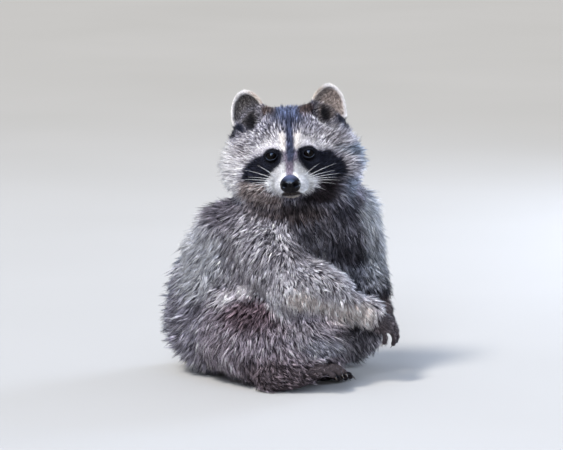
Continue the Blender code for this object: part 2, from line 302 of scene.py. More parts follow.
def addCamera():
    tilt = math.radians(view["elevation"])
    ahead = Vector((0, math.cos(tilt), -math.sin(tilt)))
    up = Vector((0, math.sin(tilt), math.cos(tilt)))
    aim = headMatrix.translation + Vector((view["right"], 0, 0)) + up * view["up"]
    data = bpy.data.cameras.new("camera")
    data.sensor_width = 36
    data.lens = data.sensor_width * view["distance"] / view["width"]
    data.clip_end = 200
    camera = newObject("camera", data)
    camera.location = aim - ahead * view["distance"]
    camera.rotation_euler = ahead.to_track_quat("-Z", "Y").to_euler()
    bpy.context.scene.camera = camera


studio = {
    "aim": (0, 0, 0.2),
    "sun": {"from": (-0.5, -0.75, 1.05), "strength": 4.0, "softness": 12, "colour": "fffaf2"},
    "world": {"colour": "dde3ec", "strength": 0.66},
    # place, side length in metres, power in watts, colour
    "lamps": {
        "window": ((-0.5, -3.0, 1.75), 0.85, 70, "e8f0ff"),
        "rim": ((1.7, 1.5, 0.55), 0.8, 62, "d8e6ff"),
        "back": ((-1.7, 1.5, 0.6), 0.9, 8, "e2ebff"),
        "softbox": ((-0.25, -1.3, 2.6), 2.2, 300, "9cc4ff"),
        "catchlight": ((-0.5, -3.0, 1.8), 0.35, 40, "d2e4ff"),
    },
    "shineOnly": ("softbox", "catchlight"),  # seen only in the wet eyes and nose
    "floor": {"radius": 40, "ends": ("a3a2a0", "acabaa")},
}


def addLights():
    sun = bpy.data.lights.new("sun", "SUN")
    sun.energy = studio["sun"]["strength"]
    sun.angle = math.radians(studio["sun"]["softness"])
    sun.color = linear(studio["sun"]["colour"])
    way = Vector(studio["sun"]["from"])
    newObject("sun", sun).rotation_euler = way.to_track_quat("Z", "Y").to_euler()
    for name, (place, side, power, colour) in studio["lamps"].items():
        data = bpy.data.lights.new(name, "AREA")
        data.size, data.energy, data.color = side, power, linear(colour)
        lamp = newObject(name, data)
        lamp.location = place
        lamp.visible_diffuse = name not in studio["shineOnly"]
        lamp.rotation_euler = (Vector(studio["aim"]) - Vector(place)).to_track_quat("-Z", "Y").to_euler()
    world = bpy.data.worlds.new("studio")
    world.use_nodes = True
    sky = {"Color": (*linear(studio["world"]["colour"]), 1), "Strength": studio["world"]["strength"]}
    setNode(world.node_tree.nodes["Background"], sky)
    bpy.context.scene.world = world
    bpy.context.scene.view_settings.view_transform = "Standard"


def addFloor():
    # studio paper, matt, with a faint cloudiness
    paper = mottledMaterial("seamlessPaper", {"Scale": 1.5}, studio["floor"]["ends"], 0.9)
    bm = bmesh.new()
    bmesh.ops.create_circle(bm, cap_ends=True, segments=64, radius=studio["floor"]["radius"])
    objectFrom(bm, "floor", paper)


addCamera()
addLights()
addFloor()
report("camera, light and floor")


# skin: one closed surface under the coat

skin = {
    "overlap": 0.7,  # mm that the solids are grown by, so that they join
    "voxel": 1.6,
    "softening": 26,
    "rounding": 5,
    "sunk": 0.95,  # share of the standing coat's height that the skin lies under it
    "thinnest": 0.27,  # share of a part's thickness that the coat may take on one side
    "fill": 7,  # mm: creases narrower than this are filled, as loose hide fills them
    "ease": {"fine": 0.02, "rest": 0.5, "rounds": 6},  # how freely each part is softened
    "fillRounds": (30, 20),  # of evening out, before and after the creases fuse
    "smooth": (150, 0.6),  # rounds and share, in the smooth spots
    "roundShare": {"fine": 0.08, "rest": 0.35},
    "dishEdge": 8,  # how firmly the dish in front of an ear is cut
    "faceTo": 25,  # mm behind the eyes to which the face is kept fine
    "face": (60, 30, 70),  # mm aside, behind, and above or below the eyes that are shaped as face
    "coarse": 0.14,  # share of the triangles kept where the coat hides the skin
    "fine": 0.42,  # and on the ears, hands and feet
}

# where the hide bridges wider creases: centre, radii, mm
fillSpots = [
    ((-70, -60, 165), (60, 70, 70), 26),
    ((20, -80, 150), (60, 60, 40), 10),
    ((100, 0, 190), (60, 60, 60), 12),
]

# where the hide is drawn smooth over a hollow: centre, radii
smoothSpots = [((-86, -50, 134), (36, 40, 36))]

# where the loose hide stands fuller: centre, radii, mm
swells = [((-98, -20, 192), (40, 60, 40), 7), ((56, -92, 150), (38, 40, 30), 8)]

hardParts = [n for n in nodes if n.startswith(("eye", "nose", "claw"))]
fleshParts = sorted(set(nodes) - set(hardParts))
fineParts = [n for n in fleshParts if n.startswith(("ear", "hand", "foot"))]

# the coat of each part: the piece it is in, its tone, then the length and width of its hairs in
# mm and how far they stand off the skin in degrees
partCoats = {
    "head": ("coatHead", "forehead", (18, 0.9, 27)),
    "ear": ("coatEars", "earInside", (4, 0.6, 30)),
    "neck": ("coatNeck", "nape", (22, 1.08, 27)),
    "chest": ("coatChest", "breast", (24, 1.14, 26)),
    "abdomen": ("coatBelly", "grey", (24, 1.14, 26)),
    "pelvis": ("coatRump", "haunch", (26, 1.20, 26)),
    "tail": ("coatTail", "tailPale", (26, 1.0, 30)),
    # the far arm's coat is a dark copy of the near arm's: painted shade
    "upper_arm_left": ("coatLeftArm", "farArmShade", (21, 1.08, 27)),
    "upper_arm_right": ("coatRightArm", "grey", (21, 1.08, 27)),
    # painted shade on the far forearm too
    "forearm_left": ("coatLeftArm", "farArmShade", (16, 1.02, 26)),
    "forearm_right": ("coatRightArm", "foreArm", (16, 1.02, 26)),
    "hand": ("coatPaws", "paw", (3, 0.6, 20)),
    # the far leg's coat is a darker copy of the near leg's: painted shade
    "thigh_left": ("coatLeftLeg", "farLegShade", (23, 1.14, 25)),
    "thigh_right": ("coatRightLeg", "thigh", (23, 1.14, 25)),
    # painted shade on the far shank too
    "shank_left": ("coatLeftLeg", "farLegShade", (14, 1.02, 24)),
    "shank_right": ("coatRightLeg", "thigh", (14, 1.02, 24)),
    "foot": ("coatPaws", "paw", (6, 0.65, 20)),
}

# hair length on the head in mm: by how far it is from the nose, by how far from the eyes, and in
# front of each ear, where the fur dips in a hollow; then its width and lift by its length
headHair = {
    "fromNose": ([0, 15, 35, 60, 80, 105, 140, 170], [1.6, 3.0, 4.8, 8, 12, 17, 21, 22]),
    "crown": 0.35,
    "lid": (8, 1.3, 0.42),
    "dish": {"centre": (51, 23, 58), "radii": (24, 35, 30), "hair": 5.5, "grows": 14},
    "width": ([1, 4, 9, 16], [0.45, 0.62, 0.8, 1.0]),
    "lift": ([1, 5, 10, 18], [10, 17, 24, 31]),
}


def kindOf(node):
    return next(kind for kind in partCoats if node.startswith(kind))


def fleshTree():
    points, faces, owner = [], [], []
    start = 0
    for i, name in enumerate(fleshParts):
        coords, triangles = pointsOf(nodes[name].data), trianglesOf(nodes[name].data)
        points.append(coords)
        faces.append(triangles + start)
        owner.append(np.full(len(triangles), i))
        start += len(coords)
    tree = BVHTree.FromPolygons(np.concatenate(points).tolist(), np.concatenate(faces).tolist())
    return tree, np.concatenate(owner)


flesh, fleshOwner = fleshTree()


def ownersOf(points):
    return fleshOwner[[flesh.find_nearest(p)[2] for p in points.tolist()]]


def perPart(values, owners):
    return np.array([values[name] for name in fleshParts], float)[owners]


def whereOn(starts, inside, outside, owners):
    # one value on the parts whose names start so, another on the rest
    return perPart({n: inside if n.startswith(starts) else outside for n in fleshParts}, owners)


def eyeDistance(h):
    side = np.where(h[:, 0] > 0, 1, -1) * head["eyeSpacing"]
    return np.sqrt((h[:, 0] - side) ** 2 + h[:, 1] ** 2 + h[:, 2] ** 2)


def dishDistance(h):
    x, y, z = headHair["dish"]["centre"]
    wide, deep, high = headHair["dish"]["radii"]
    folded = np.abs(h[:, 0])
    return np.sqrt(((folded - x) / wide) ** 2 + ((h[:, 1] - y) / deep) ** 2 + ((h[:, 2] - z) / high) ** 2)


def headLength(h):
    length = np.interp(np.linalg.norm(h - noseTip, axis=1), *headHair["fromNose"])
    length = length * (1 - headHair["crown"] * step(18, 45, h[:, 2]) * step(-5, 25, h[:, 1]))
    dish = headHair["dish"]
    length = np.minimum(length, dish["hair"] + dish["grows"] * np.maximum(dishDistance(h) - 1, 0))
    edge, shortest, grows = headHair["lid"]
    return np.minimum(length, shortest + grows * np.maximum(eyeDistance(h) - edge, 0))


def hairFields(points, owners, edges, rounds):
    # length, width and lift of the hair at each vertex, with no step from part to part
    fields = perPart({name: partCoats[kindOf(name)][2] for name in fleshParts}, owners)
    onHead = owners == fleshParts.index("head")
    length = headLength(toHead(points[onHead]))
    width, lift = (np.interp(length, *headHair[field]) for field in ("width", "lift"))
    fields[onHead] = np.stack([length, width, lift], 1)
    for name in paws:
        on = owners == fleshParts.index(name)
        fields[on, 0] = np.interp(within(pawFrame(name), points[on])[:, 0], *digits[kindOf(name)]["hair"])
    return spread(fields, edges, rounds)


def growFlesh():
    joined = bmesh.new()
    for name in sorted(set(fleshParts) - set(fineParts)):
        part = bmesh.new()
        part.from_mesh(nodes[name].data)
        bmesh.ops.remove_doubles(part, verts=part.verts, dist=1e-5)
        part.normal_update()
        for vert in part.verts:
            vert.co += vert.normal * skin["overlap"] * mm
        mesh = bpy.data.meshes.new("part")
        part.to_mesh(mesh)
        part.free()
        joined.from_mesh(mesh)
        bpy.data.meshes.remove(mesh)
    return objectFrom(joined, "skin")


def remesh(obj, voxel):
    modify(obj, "REMESH", mode="VOXEL", voxel_size=voxel * mm)


def keepLargest(obj):
    bm = bmesh.new()
    bm.from_mesh(obj.data)
    left, islands = set(bm.verts), []
    while left:
        seed = left.pop()
        island, border = [seed], [seed]
        while border:
            for edge in border.pop().link_edges:
                for vert in edge.verts:
                    if vert in left:
                        left.remove(vert)
                        island.append(vert)
                        border.append(vert)
        islands.append(island)
    islands.sort(key=len)
    for island in islands[:-1]:
        bmesh.ops.delete(bm, geom=island, context="VERTS")
    bm.to_mesh(obj.data)
    bm.free()


def remeshSkin(obj):
    remesh(obj, skin["voxel"])
    keepLargest(obj)


def closeCreases(obj):
    # the hide is blown up until its narrow creases meet and fuse, then drawn in again
    points, edges, triangles = readMesh(obj)
    owners = ownersOf(points)
    ease = skin["ease"]
    ease = spread(whereOn(("hand", "foot", "ear"), ease["fine"], ease["rest"], owners), edges, ease["rounds"])
    points = spread(points, edges, skin["softening"], ease)
    fill = whereOn(("hand", "foot", "ear", "head", "tail"), 0, skin["fill"], owners)
    for centre, radii, amount in fillSpots:
        weight = spotWeight(points / mm, centre, radii) * (fill > 0)
        fill = np.maximum(fill, amount * weight)
    before, after = skin["fillRounds"]
    fill = spread(fill, edges, before)
    setPoints(obj, points + normalsOf(points, triangles) * fill[:, None] * mm)
    blown = pointsOf(obj.data)
    remeshSkin(obj)
    points, edges, triangles = readMesh(obj)
    fill = spread(fill[nearestOf(blown, points)], edges, after)
    points = spread(points, edges, after, np.minimum(fill / 6, 0.5))
    rounds, share = skin["smooth"]
    for centre, radii in smoothSpots:
        points = spread(points, edges, rounds, share * spotWeight(points / mm, centre, radii))
    setPoints(obj, points - normalsOf(points, triangles) * fill[:, None] * mm)
    remeshSkin(obj)


def sinkUnderCoat(obj):
    points, edges, triangles = readMesh(obj)
    owners = ownersOf(points)
    normals = normalsOf(points, triangles)
    length, _, lift = hairFields(points, owners, edges, 30).T
    depth = length * np.sin(np.radians(lift)) * skin["sunk"]
    depth = depth + skin["overlap"] * whereOn(("hand", "foot"), 0, 1, owners)
    tree = BVHTree.FromPolygons(points.tolist(), triangles.tolist())
    furthest, justInside = 0.2, 0.0005  # metres
    reach = np.full(len(points), furthest)
    for i, (p, n) in enumerate(zip(points - normals * justInside, normals)):
        hit = tree.ray_cast(Vector(p), Vector(-n), furthest)
        if hit[0] is not None:
            reach[i] = hit[3]
    depth = spread(np.minimum(depth, skin["thinnest"] * reach / mm), edges, 10)
    for centre, radii, amount in swells:
        depth = depth - amount * spotWeight(points / mm, centre, radii)
    points = points - normals * depth[:, None] * mm
    # the dish in front of each ear is pushed in
    onHead = owners == fleshParts.index("head")
    h = toHead(points[onHead])
    away = dishDistance(h)[:, None]
    centre = np.array(headHair["dish"]["centre"]) * np.where(h[:, :1] > 0, [1, 1, 1], [-1, 1, 1])
    pushed = (away ** skin["dishEdge"] + 1) ** (1 / skin["dishEdge"])
    points[onHead] = fromHead(centre + (h - centre) * pushed / np.maximum(away, 0.05))
    setPoints(obj, points)


# ears, hands and feet are made finely, then joined to the skin

def ballChain(stations, steps=5):
    # balls on a smooth curve through the stations: x, y, z and one radius or three
    rows = [s if len(s) == 6 else (*s, s[3], s[3]) for s in stations]
    rows = np.array([rows[0], *rows, rows[-1]], float)
    balls = []
    for i in range(1, len(rows) - 2):
        before, start, end, after = rows[i - 1:i + 3]
        for t in np.arange(steps) / steps:
            bend = (2 * before - 5 * start + 4 * end - after) * t**2
            bend += (3 * start - before - 3 * end + after) * t**3
            balls.append((2 * start + (end - before) * t + bend) / 2)
    return [*balls, rows[-1]]


def fuseBalls(name, balls, place, voxel):
    bm = bmesh.new()
    for x, y, z, *radii in balls:
        at = Matrix.Translation(Vector((x, y, z)) * mm) @ Matrix.Diagonal((*(r * mm for r in radii), 1))
        bmesh.ops.create_icosphere(bm, subdivisions=2, radius=1, matrix=place @ at)
    obj = objectFrom(bm, name)
    remesh(obj, voxel)
    soften(obj, 3)
    return obj


# Each paw: where its wrist or heel is, the way it points, how its back faces, which side its
# thumb or first toe is on, and where the limb above it comes from, in mm; then its digits' curl.
paws = {
    "hand_right": ((115.1, -71, 96), (0.84, 0.12, -0.53), (0.4, -0.5, 0.76), 1, (84, -90, 116), 34),
    "hand_left": ((124.1, -12, 116), (0.58, -0.24, -0.78), (0.75, 0.1, 0.65), -1, (116, -6, 148), 34),
    "foot_right": ((-8.9, -107, 0), (0.93, -0.16, 0.32), (0, 0, 1), 1, (12, -110, 32), 26),
    "foot_left": ((-4.9, -2, 0), (0.97, -0.24, 0.0), (0, 0, 1), -1, (48, -16, 42), 8),
}

# Fingers and toes in mm. "base" is where the middle one starts, ahead and up; the others start
# "bow" further back and are "shorter"; "root" and "pad" are balls behind and under each base.
digits = {
    "hand": {"base": (32, -1.5), "bow": 1.3, "thumbBack": 7, "gap": 6.9, "fan": 9, "length": 27.5,
             "shorter": 2.4, "radius": 3.5, "knuckle": 1.12, "tip": 0.92, "root": (-18, 0.6, -0.5, 1.35),
             "pad": (-2, 1, -5, 4.4, 3.8, 2.6), "voxel": 0.75,
             "hair": ([-10, 20, 44, 62], [12, 9, 5, 1.6])},  # its length by how far along it grows
    "foot": {"base": (76, 8), "bow": 1.6, "thumbBack": 0, "gap": 8.4, "fan": 7, "length": 23.5,
             "shorter": 2, "radius": 4.0, "knuckle": 1.15, "tip": 1.0, "root": (-20, 0.75, 9, 1.4),
             "pad": (-3, 0.95, 3.6, 6, 4.6, 3.4), "voxel": 0.85,
             "hair": ([0, 52, 72, 86], [16, 12, 4, 1.2])},
}


def pawFrame(name):
    at, ahead, back = (np.array(v, float) for v in paws[name][:3])
    x = unit(ahead)
    y = unit(np.cross(back, x))
    turn = Matrix(np.stack([x, y, np.cross(x, y)], 1).tolist()).to_4x4()
    return Matrix.Translation(Vector(at) * mm) @ turn


def handBalls(sleeve):
    arm = [(*sleeve, 12.5), (*(sleeve * 0.5), 11.5), (-6, 0, 0, 10.5, 11, 9)]
    palm = [(-6, 0, 0, 10.5, 11, 9), (12, 0, 0.3, 11, 13, 8), (28, 0, -0.5, 9, 14.5, 6.5)]
    return [*ballChain(arm), *ballChain(palm)]


def footBalls(shin):
    sole = [(2, 0, 13, 13, 12, 13), (30, 0, 12, 17, 13, 12), (56, 0, 9.5, 15, 15, 9.5),
            (72, 0, 8, 9, 17, 7.5)]
    ankle = Vector((2, 0, 13))
    return [*ballChain(sole), *ballChain([(*shin, 12), (*((shin + ankle) / 2), 11), (2, 0, 14, 11)])]


def digit(base, length, radius, aside, curl, tip):
    # knuckle, two joints and the tip, each joint a little thicker than the bone between
    turn, slope = math.radians(aside), 0.0
    x, y, z = base
    stations = [(x, y, z, radius * 1.1)]
    for share, bend, thick in ((0.18, 0.2, 0.95), (0.18, 0, 1.04), (0.17, 1.0, 0.88), (0.17, 0, 1.0),
                               (0.15, 0.8, 0.86), (0.15, 0, tip)):
        slope += math.radians(curl) * bend
        x += math.cos(turn) * math.cos(slope) * length * share
        y += math.sin(turn) * math.cos(slope) * length * share
        z -= math.sin(slope) * length * share
        stations.append((x, y, z, radius * thick))
    return ballChain(stations, 3)


def makePaw(name):
    _, _, _, side, above, curl = paws[name]
    place, form = pawFrame(name), digits[kindOf(name)]
    limb = place.inverted() @ (Vector(above) * mm) / mm
    isHand = kindOf(name) == "hand"
    balls = handBalls(limb) if isHand else footBalls(limb)
    (front, height), radius = form["base"], form["radius"]
    behind, closer, low, thick = form["root"]
    under, beside, *pad = form["pad"]
    for i in range(5):
        outer = (i - 2) ** 2
        across = (i - 2) * side
        x = front - form["bow"] * outer - (form["thumbBack"] if i == 0 else 0)
        base = (x, across * form["gap"], height)
        root = (x + behind, across * form["gap"] * closer, low, radius * thick)
        balls += ballChain([root, (*base, radius * form["knuckle"])], 6)
        length = form["length"] - form["shorter"] * abs(i - 2)
        balls += digit(base, length, radius, across * form["fan"], curl, form["tip"])
        balls.append((x + under, across * form["gap"] * beside, *pad))
    if isHand:
        # the two pads at the heel of the hand
        balls += [(4, 7 * side, -6, 8, 5, 3.5), (6, -6 * side, -6, 8, 5.5, 3.5)]
    return fuseBalls(name, balls, place, form["voxel"])


ears = {
    "base": (47, 46.5, 36),
    "half": (24, 12, 40),
    "raise": 0.3,
    "lean": {1: 9, -1: 12},
    "turn": 14,
    "cup": {"deep": 1.35, "wide": 0.93, "high": 0.95, "low": 0.02, "steep": 0.55, "behind": 0.15},
    "flatBack": 0.8,
    "narrow": 0.16,  # how far it draws in below
    "bow": 0.22,  # how far its edges come forward
    "voxel": 0.9,
    # its marks, as shares of its half sizes: where each starts and where it is full
    "hollow": {1: (0.34, 0.5), -1: (0.56, 0.8)},  # half width and height of the painted shade in the ear's hollow, by side
    "hollowAt": (-0.12, -0.4),
    "front": (0.1, -0.3),
    "rim": ((0.85, 0.96), (-0.75, -0.35)),
    "inner": ((-0.3, -0.62), (0.5, -0.1)),
    "cream": (-0.1, -0.6),
}


def earFrame(side):
    turn = Matrix.Rotation(math.radians(side * ears["turn"]), 4, "Z")
    lean = Matrix.Rotation(math.radians(side * ears["lean"][side]), 4, "Y")
    base = Matrix.Translation(Vector((side * ears["base"][0], *ears["base"][1:])) * mm)
    middle = Matrix.Translation((0, 0, ears["half"][2] * ears["raise"] * mm))
    return headMatrix @ base @ turn @ lean @ middle


def makeEar(name):
    (wide, deep, high), cup = ears["half"], ears["cup"]
    bm = bmesh.new()
    bmesh.ops.create_uvsphere(bm, u_segments=64, v_segments=48, radius=1)
    for vert in bm.verts:
        x, y, z = vert.co
        # a cupped leaf: broad and round above, drawn in below, hollow in front
        narrow = 1 - ears["narrow"] * max(-z, 0)
        inside = max(0, 1 - (x / cup["wide"]) ** 2 - ((z + cup["low"]) / cup["high"]) ** 2)
        hollow = cup["deep"] * inside ** cup["steep"]
        bow = -ears["bow"] * x * x
        front = y < 0
        y = (y if front else y * ears["flatBack"]) + bow + (hollow if front else hollow * cup["behind"])
        vert.co = (x * wide * narrow * mm, y * deep * mm, z * high * mm)
    bm.transform(earFrame(1 if name.endswith("left") else -1))
    obj = objectFrom(bm, name)
    remesh(obj, ears["voxel"])
    soften(obj, 2)
    return obj


def joinFine(obj):
    for name in fineParts:
        piece = makeEar(name) if kindOf(name) == "ear" else makePaw(name)
        modify(piece, "DECIMATE", ratio=skin["fine"])
        modify(obj, "BOOLEAN", operation="UNION", solver="MANIFOLD", object=piece)
        bpy.data.objects.remove(piece)
    keepLargest(obj)


def thinHidden(obj):
    # fewer triangles wherever the coat hides the skin
    points = pointsOf(obj.data)
    face = (ownersOf(points) == fleshParts.index("head")) & (toHead(points)[:, 1] < skin["faceTo"])
    group = obj.vertex_groups.new(name="hidden")
    group.add(np.flatnonzero(~face).tolist(), 1.0, "REPLACE")
    kept = face.mean() + (1 - face.mean()) * skin["coarse"]
    modify(obj, "DECIMATE", vertex_group="hidden", ratio=kept)
    obj.vertex_groups.clear()


# the face: lids, and the line of the mouth

def refineFace(obj):
    # the triangles of the face are split once, and those of the lids once more
    bm = bmesh.new()
    bm.from_mesh(obj.data)
    for aroundEye, aroundMouth in zip(lids["fine"], mouth["fine"]):
        coords = toHead(np.array([v.co for v in bm.verts]))
        wanted = (eyeDistance(coords) < aroundEye) | (mouthDistance(coords) < aroundMouth)
        bm.verts.index_update()
        edges = [e for e in bm.edges if wanted[e.verts[0].index] and wanted[e.verts[1].index]]
        bmesh.ops.subdivide_edges(bm, edges=edges, cuts=1, use_grid_fill=True)
        bmesh.ops.triangulate(bm, faces=bm.faces)
    bm.to_mesh(obj.data)
    bm.free()


lids = {
    "wide": 6.6,  # half of the opening, in mm
    "high": 4.7,
    "edge": (0.86, 1.12),  # the lid's edge, as shares of the opening
    "thick": 0.3,
    "reach": (8.0, 17.0),  # mm from the middle of the eye over which they run into the face
    "behind": -14,
    "level": 2.4,
    "soft": 1.3,
    "inner": 1.6,  # mm that the skin lies inside the eyeball
    "turn": 9,
    "furFrom": (9.0, 12.5),  # mm from the middle of the eye: black lids, then the mask
    "fine": (19, 13),  # mm round the eye that are split once and twice
    "glintAt": 1.03,  # the painted pale reflection on the moist line, as a share of the opening, squared
    "glintWide": 0.12,
}


def eyeAxes(side):
    # forwards and a little outwards; across; up
    turn = math.radians(lids["turn"]) * side
    ahead = unit(np.array([math.sin(turn), -math.cos(turn), 0.03]))
    across = np.array([math.cos(turn), math.sin(turn), 0])
    return ahead, across, np.cross(across, -ahead)


def fromEye(h, side):
    # how far each point is ahead of the middle of the eye, across it and above it
    r = h - [side * head["eyeSpacing"], 0, 0]
    return (r @ axis for axis in eyeAxes(side))


def shapeLids(h):
    ball, (full, reach) = head["eyeRadius"], lids["reach"]
    for side in (1, -1):
        depth, a, b = fromEye(h, side)
        rho = np.hypot(a, b)
        near = (rho < reach) & (depth > lids["behind"])
        dome = np.sqrt(np.maximum((ball + lids["thick"]) ** 2 - rho**2, 0))
        hold = 1 - step(full, reach, rho)
        # the lids rise softly out of the mask
        rise = (dome + lids["level"]) / 2 + np.sqrt(((dome - lids["level"]) / 2) ** 2 + lids["soft"] ** 2)
        outside = depth + (rise - depth) * hold
        inside = np.sqrt(np.maximum(ball**2 - rho**2, 0)) - lids["inner"]
        # the opening is an oval, wider than it is high
        cover = step(*lids["edge"], (a / lids["wide"]) ** 2 + (b / lids["high"]) ** 2)
        target = inside + (outside - inside) * cover
        h = h + np.where(near, target - depth, 0)[:, None] * eyeAxes(side)[0]
    return h


# the line of the lips on one side, in the head's frame, from under the nose backwards
mouth = {
    "line": [(0, -46, -51.5), (5, -44, -53), (11, -36, -53.5), (16, -22, -52), (19, -8, -49)],
    "groove": [(0, -50, -44), (0, -46, -51.5)],  # from the nose down to the lips
    "deep": 2.4,
    "wide": 1.3,
    "fine": (6, 0),  # mm round it that are split once, and none twice
}


def lineDistance(h, line):
    best = np.full(len(h), 1e9)
    for a, b in zip(np.array(line[:-1], float), np.array(line[1:], float)):
        t = np.clip((h - a) @ (b - a) / ((b - a) @ (b - a)), 0, 1)
        best = np.minimum(best, np.linalg.norm(h - a - t[:, None] * (b - a), axis=1))
    return best


def mouthDistance(h):
    folded = np.stack([np.abs(h[:, 0]), h[:, 1], h[:, 2]], 1)
    return np.minimum(lineDistance(folded, mouth["line"]), lineDistance(h, mouth["groove"]))


def shapeFace(obj):
    points, _, triangles = readMesh(obj)
    h = toHead(points)
    aside, behind, high = skin["face"]
    face = (h[:, 1] < behind) & (np.abs(h[:, 0]) < aside) & (np.abs(h[:, 2]) < high)
    near = h[face]
    normals = (normalsOf(points, triangles) @ headTurn)[face]
    dent = mouth["deep"] * dip(mouthDistance(near), mouth["wide"])
    h[face] = shapeLids(near - normals * dent[:, None])
    setPoints(obj, fromHead(h))


def buildSkin():
    obj = growFlesh()
    remeshSkin(obj)
    report(f"flesh joined, {len(obj.data.vertices)} points")
    closeCreases(obj)
    sinkUnderCoat(obj)
    report("sunk under the coat")
    remeshSkin(obj)
    fine, rest = skin["roundShare"].values()
    soften(obj, skin["rounding"], whereOn(("hand", "foot"), fine, rest, ownersOf(pointsOf(obj.data))))
    thinHidden(obj)
    report(f"thinned to {len(obj.data.polygons)} faces")
    joinFine(obj)
    report(f"ears, hands and feet joined, {len(obj.data.polygons)} faces")
    refineFace(obj)
    shapeFace(obj)
    obj.data.shade_smooth()
    report(f"skin shaped, {len(obj.data.polygons)} faces")
    return obj


# tones of the coat: tip of the hair, its root, and the share of hairs that end dark

tones = {
    "grey": ("f4eefa", "211a23", 0.38),
    "flank": ("f4f6ff", "3a3a48", 0.12),
    "dorsal": ("8f9db4", "1c2029", 0.45),
    "nape": ("a5a2b0", "2c2931", 0.45),
    "throat": ("93837e", "120b0a", 0.48),
    "breast": ("e6e3f0", "1e1a22", 0.32),
    "chestDark": ("a5a1ab", "110e13", 0.46),
    "cream": ("fff5f0", "c6b6b2", 0.0),
    "arc": ("f6f2f8", "aaa4ac", 0.04),
    "thigh": ("eadceb", "1c1017", 0.40),
    "thighLow": ("a2929a", "0e0708", 0.58),
    "haunch": ("d4d0e2", "1f1a24", 0.40),
    "hipBrown": ("95808a", "1e1016", 0.52),
    # painted shade: the far arm, turned from the light, darker than the lit near arm
    "farArmShade": ("6b6974", "0e0d11", 0.50),
    "armLow": ("c4c7d8", "17171f", 0.38),
    # painted rim light: the far arm's outer edge, pale and bluish as the cool lamp from behind would light it
    "armRimLight": ("e6eaf2", "767d88", 0.15),
    "armTop": ("c9c8d4", "45434d", 0.30),
    "foreArm": ("f8f3fc", "453e46", 0.16),
    # painted shade: the far leg and knee, darker and bluer than the lit near leg
    "farLegShade": ("a6a2ab", "1e1b20", 0.38),
    "knee": ("cbc5d0", "29242c", 0.30),
    "shin": ("e2e4f4", "363440", 0.20),
    "neckDark": ("4a4b58", "09090d", 0.5),
    "paw": ("877c80", "1c181b", 0.35),
    "tailPale": ("d0c4ba", "5f534c", 0.15),
    "tailDark": ("3a3236", "1b1719", 0.10),
    # the crown's darker fur, with a painted bluish cast of sky light on the top of the head
    "crown": ("7a86ac", "1c2233", 0.36),
    "forehead": ("d2d0e2", "27242f", 0.40),
    "cheekWhite": ("fefdff", "b9b5c0", 0.03),
    # painted cool rim light: the white cheek on the animal's left turned bluish grey
    "cheekRimLit": ("a0abbb", "2f3741", 0.22),
    "cheekBlue": ("767f91", "1e2229", 0.28),
    "temple": ("dedae2", "4c454c", 0.22),
    "browWhite": ("fbf8f6", "d6cdca", 0.0),
    "muzzleWhite": ("ffffff", "dcdde6", 0.03),
    "browGrey": ("eeecf6", "4c4852", 0.20),
    "mask": ("2a2b38", "08080d", 0.1),
    "stripe": ("5e6480", "1d1f2c", 0.15),
    "bridge": ("a69bac", "4a4252", 0.20),
    "jowlBrown": ("d6c7c5", "2b1f20", 0.24),
    "jowlDark": ("40373d", "070507", 0.5),
    "chinPale": ("d8d0c8", "978d84", 0.0),
    "earBrown": ("a08a80", "231a1a", 0.25),
    "earWarm": ("c2b3ac", "322a28", 0.24),
    "earCream": ("d2c2b2", "6e6058", 0.0),
    "tuftBrown": ("83706a", "181010", 0.5),
    # partly the dark lips, partly painted shadow under the nose
    "lipAndShadow": ("4c4745", "1c1817", 0.2),
    "throatDark": ("40342e", "050302", 0.6),
    "shoulderEdge": ("918b98", "1c1820", 0.46),
    "earInside": ("6e6967", "110e0f", 0.36),
    "earRim": ("fbfafd", "a9a4a5", 0.0),
    # painted shade: near black where the ear's hollow runs deep
    "earHollowShade": ("17151a", "09080b", 0.0),
    "earBack": ("77747c", "26242a", 0.40),
    "lid": ("121117", "08070a", 0.0),
}
toneValues = {
    name: np.array([*linear(tip), *linear(root), dark]) for name, (tip, root, dark) in tones.items()
}


